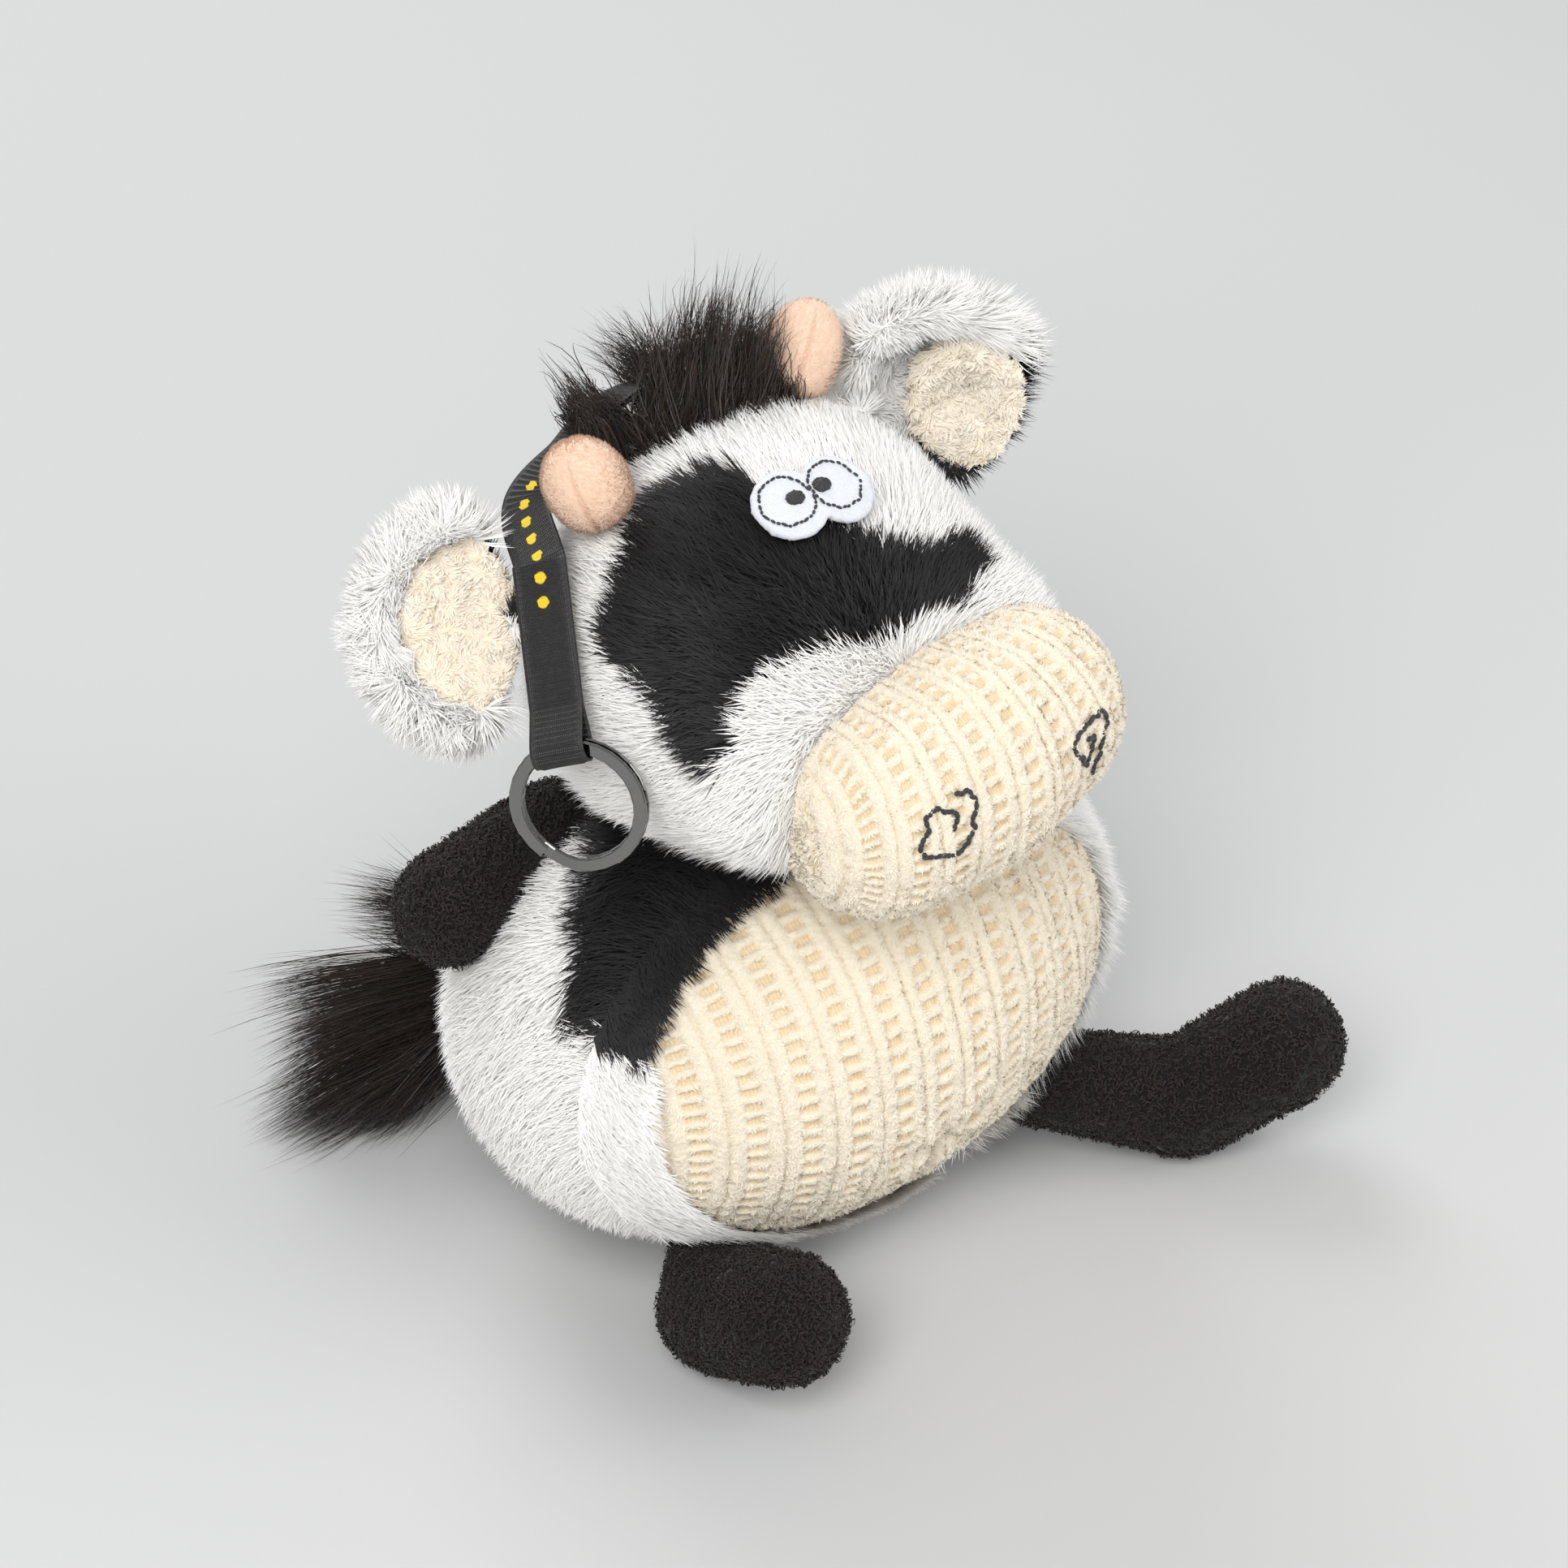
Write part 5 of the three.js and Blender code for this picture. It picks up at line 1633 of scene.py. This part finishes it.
class PLUSH_OT_stage(bpy.types.Operator):
    """Sets the camera, the pale floor and the soft lights"""

    bl_idname = "plush.stage"
    bl_label = "Stage"

    def execute(self, context):
        scene = bpy.context.scene
        camera = bpy.data.objects.new("camera", bpy.data.cameras.new("camera"))
        scene.collection.objects.link(camera)
        turn = Matrix((CAMERA_RIGHT, CAMERA_UP, CAMERA_BACK)).transposed().to_4x4()
        camera.matrix_world = Matrix.Translation(CAMERA_PLACE) @ turn
        camera.data.lens = CAMERA_LENS
        camera.data.sensor_width = 36
        camera.data.clip_start = 0.01
        scene.camera = camera
        bm = bmesh.new()
        bmesh.ops.create_grid(bm, x_segments=8, y_segments=8, size=FLOOR_HALF)
        floor = bpy.data.objects.new("floor", mesh_from(bm, "floor"))
        scene.collection.objects.link(floor)
        look = Look("floor", Roughness=0.85, Specular_IOR_Level=0.2)
        low, high = (colour(tone) for tone in FLOOR_TONES)
        look.feed("Base Color", look.blend(look.noise(3, 2), low, high))
        floor.data.materials.append(look.material)
        for name, (place, power, size) in LAMPS.items():
            data = bpy.data.lights.new(name, "AREA")
            data.energy, data.size = power, size
            lamp = bpy.data.objects.new(name, data)
            lamp.location = place
            lamp.rotation_euler = (Vector(LAMP_AIM) - Vector(place)).to_track_quat("-Z", "Y").to_euler()
            scene.collection.objects.link(lamp)
        world = bpy.data.worlds.new("studio")
        world.use_nodes = True
        air = world.node_tree.nodes["Background"]
        air.inputs["Color"].default_value = colour(AIR_TONE)
        air.inputs["Strength"].default_value = AIR_LIGHT
        scene.world = world
        scene.view_settings.view_transform = "Standard"
        return {"FINISHED"}


class PLUSH_PT_panel(bpy.types.Panel):
    """Lists the steps of the dressing and their settings"""

    bl_idname = "PLUSH_PT_panel"
    bl_label = "Plush charm"
    bl_space_type = "VIEW_3D"
    bl_region_type = "UI"
    bl_category = "Plush"

    def draw(self, context):
        plush = context.scene.plush_charm
        for group in (plush.sizes, plush.colours):
            box = self.layout.box()
            for name in type(group).__annotations__:
                box.prop(group, name)
        for step in STEPS:
            self.layout.operator(step.bl_idname)


STEPS = [
    PLUSH_OT_stage, PLUSH_OT_torso, PLUSH_OT_belly, PLUSH_OT_neck, PLUSH_OT_head, PLUSH_OT_muzzle, PLUSH_OT_horns,
    PLUSH_OT_eyes, PLUSH_OT_ears, PLUSH_OT_arms, PLUSH_OT_legs, PLUSH_OT_hair, PLUSH_OT_tail, PLUSH_OT_ribbon,
    PLUSH_OT_ring,
]
CLASSES = [PlushSizes, PlushColours, PlushSettings, *STEPS, PLUSH_PT_panel]


def register():
    for cls in CLASSES:
        bpy.utils.register_class(cls)
    bpy.types.Scene.plush_charm = bpy.props.PointerProperty(type=PlushSettings)


def unregister():
    del bpy.types.Scene.plush_charm
    for cls in reversed(CLASSES):
        bpy.utils.unregister_class(cls)


def main():
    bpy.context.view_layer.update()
    register()
    for step in STEPS:
        group, name = step.bl_idname.split(".")
        getattr(getattr(bpy.ops, group), name)()


if __name__ == "__main__":
    main()
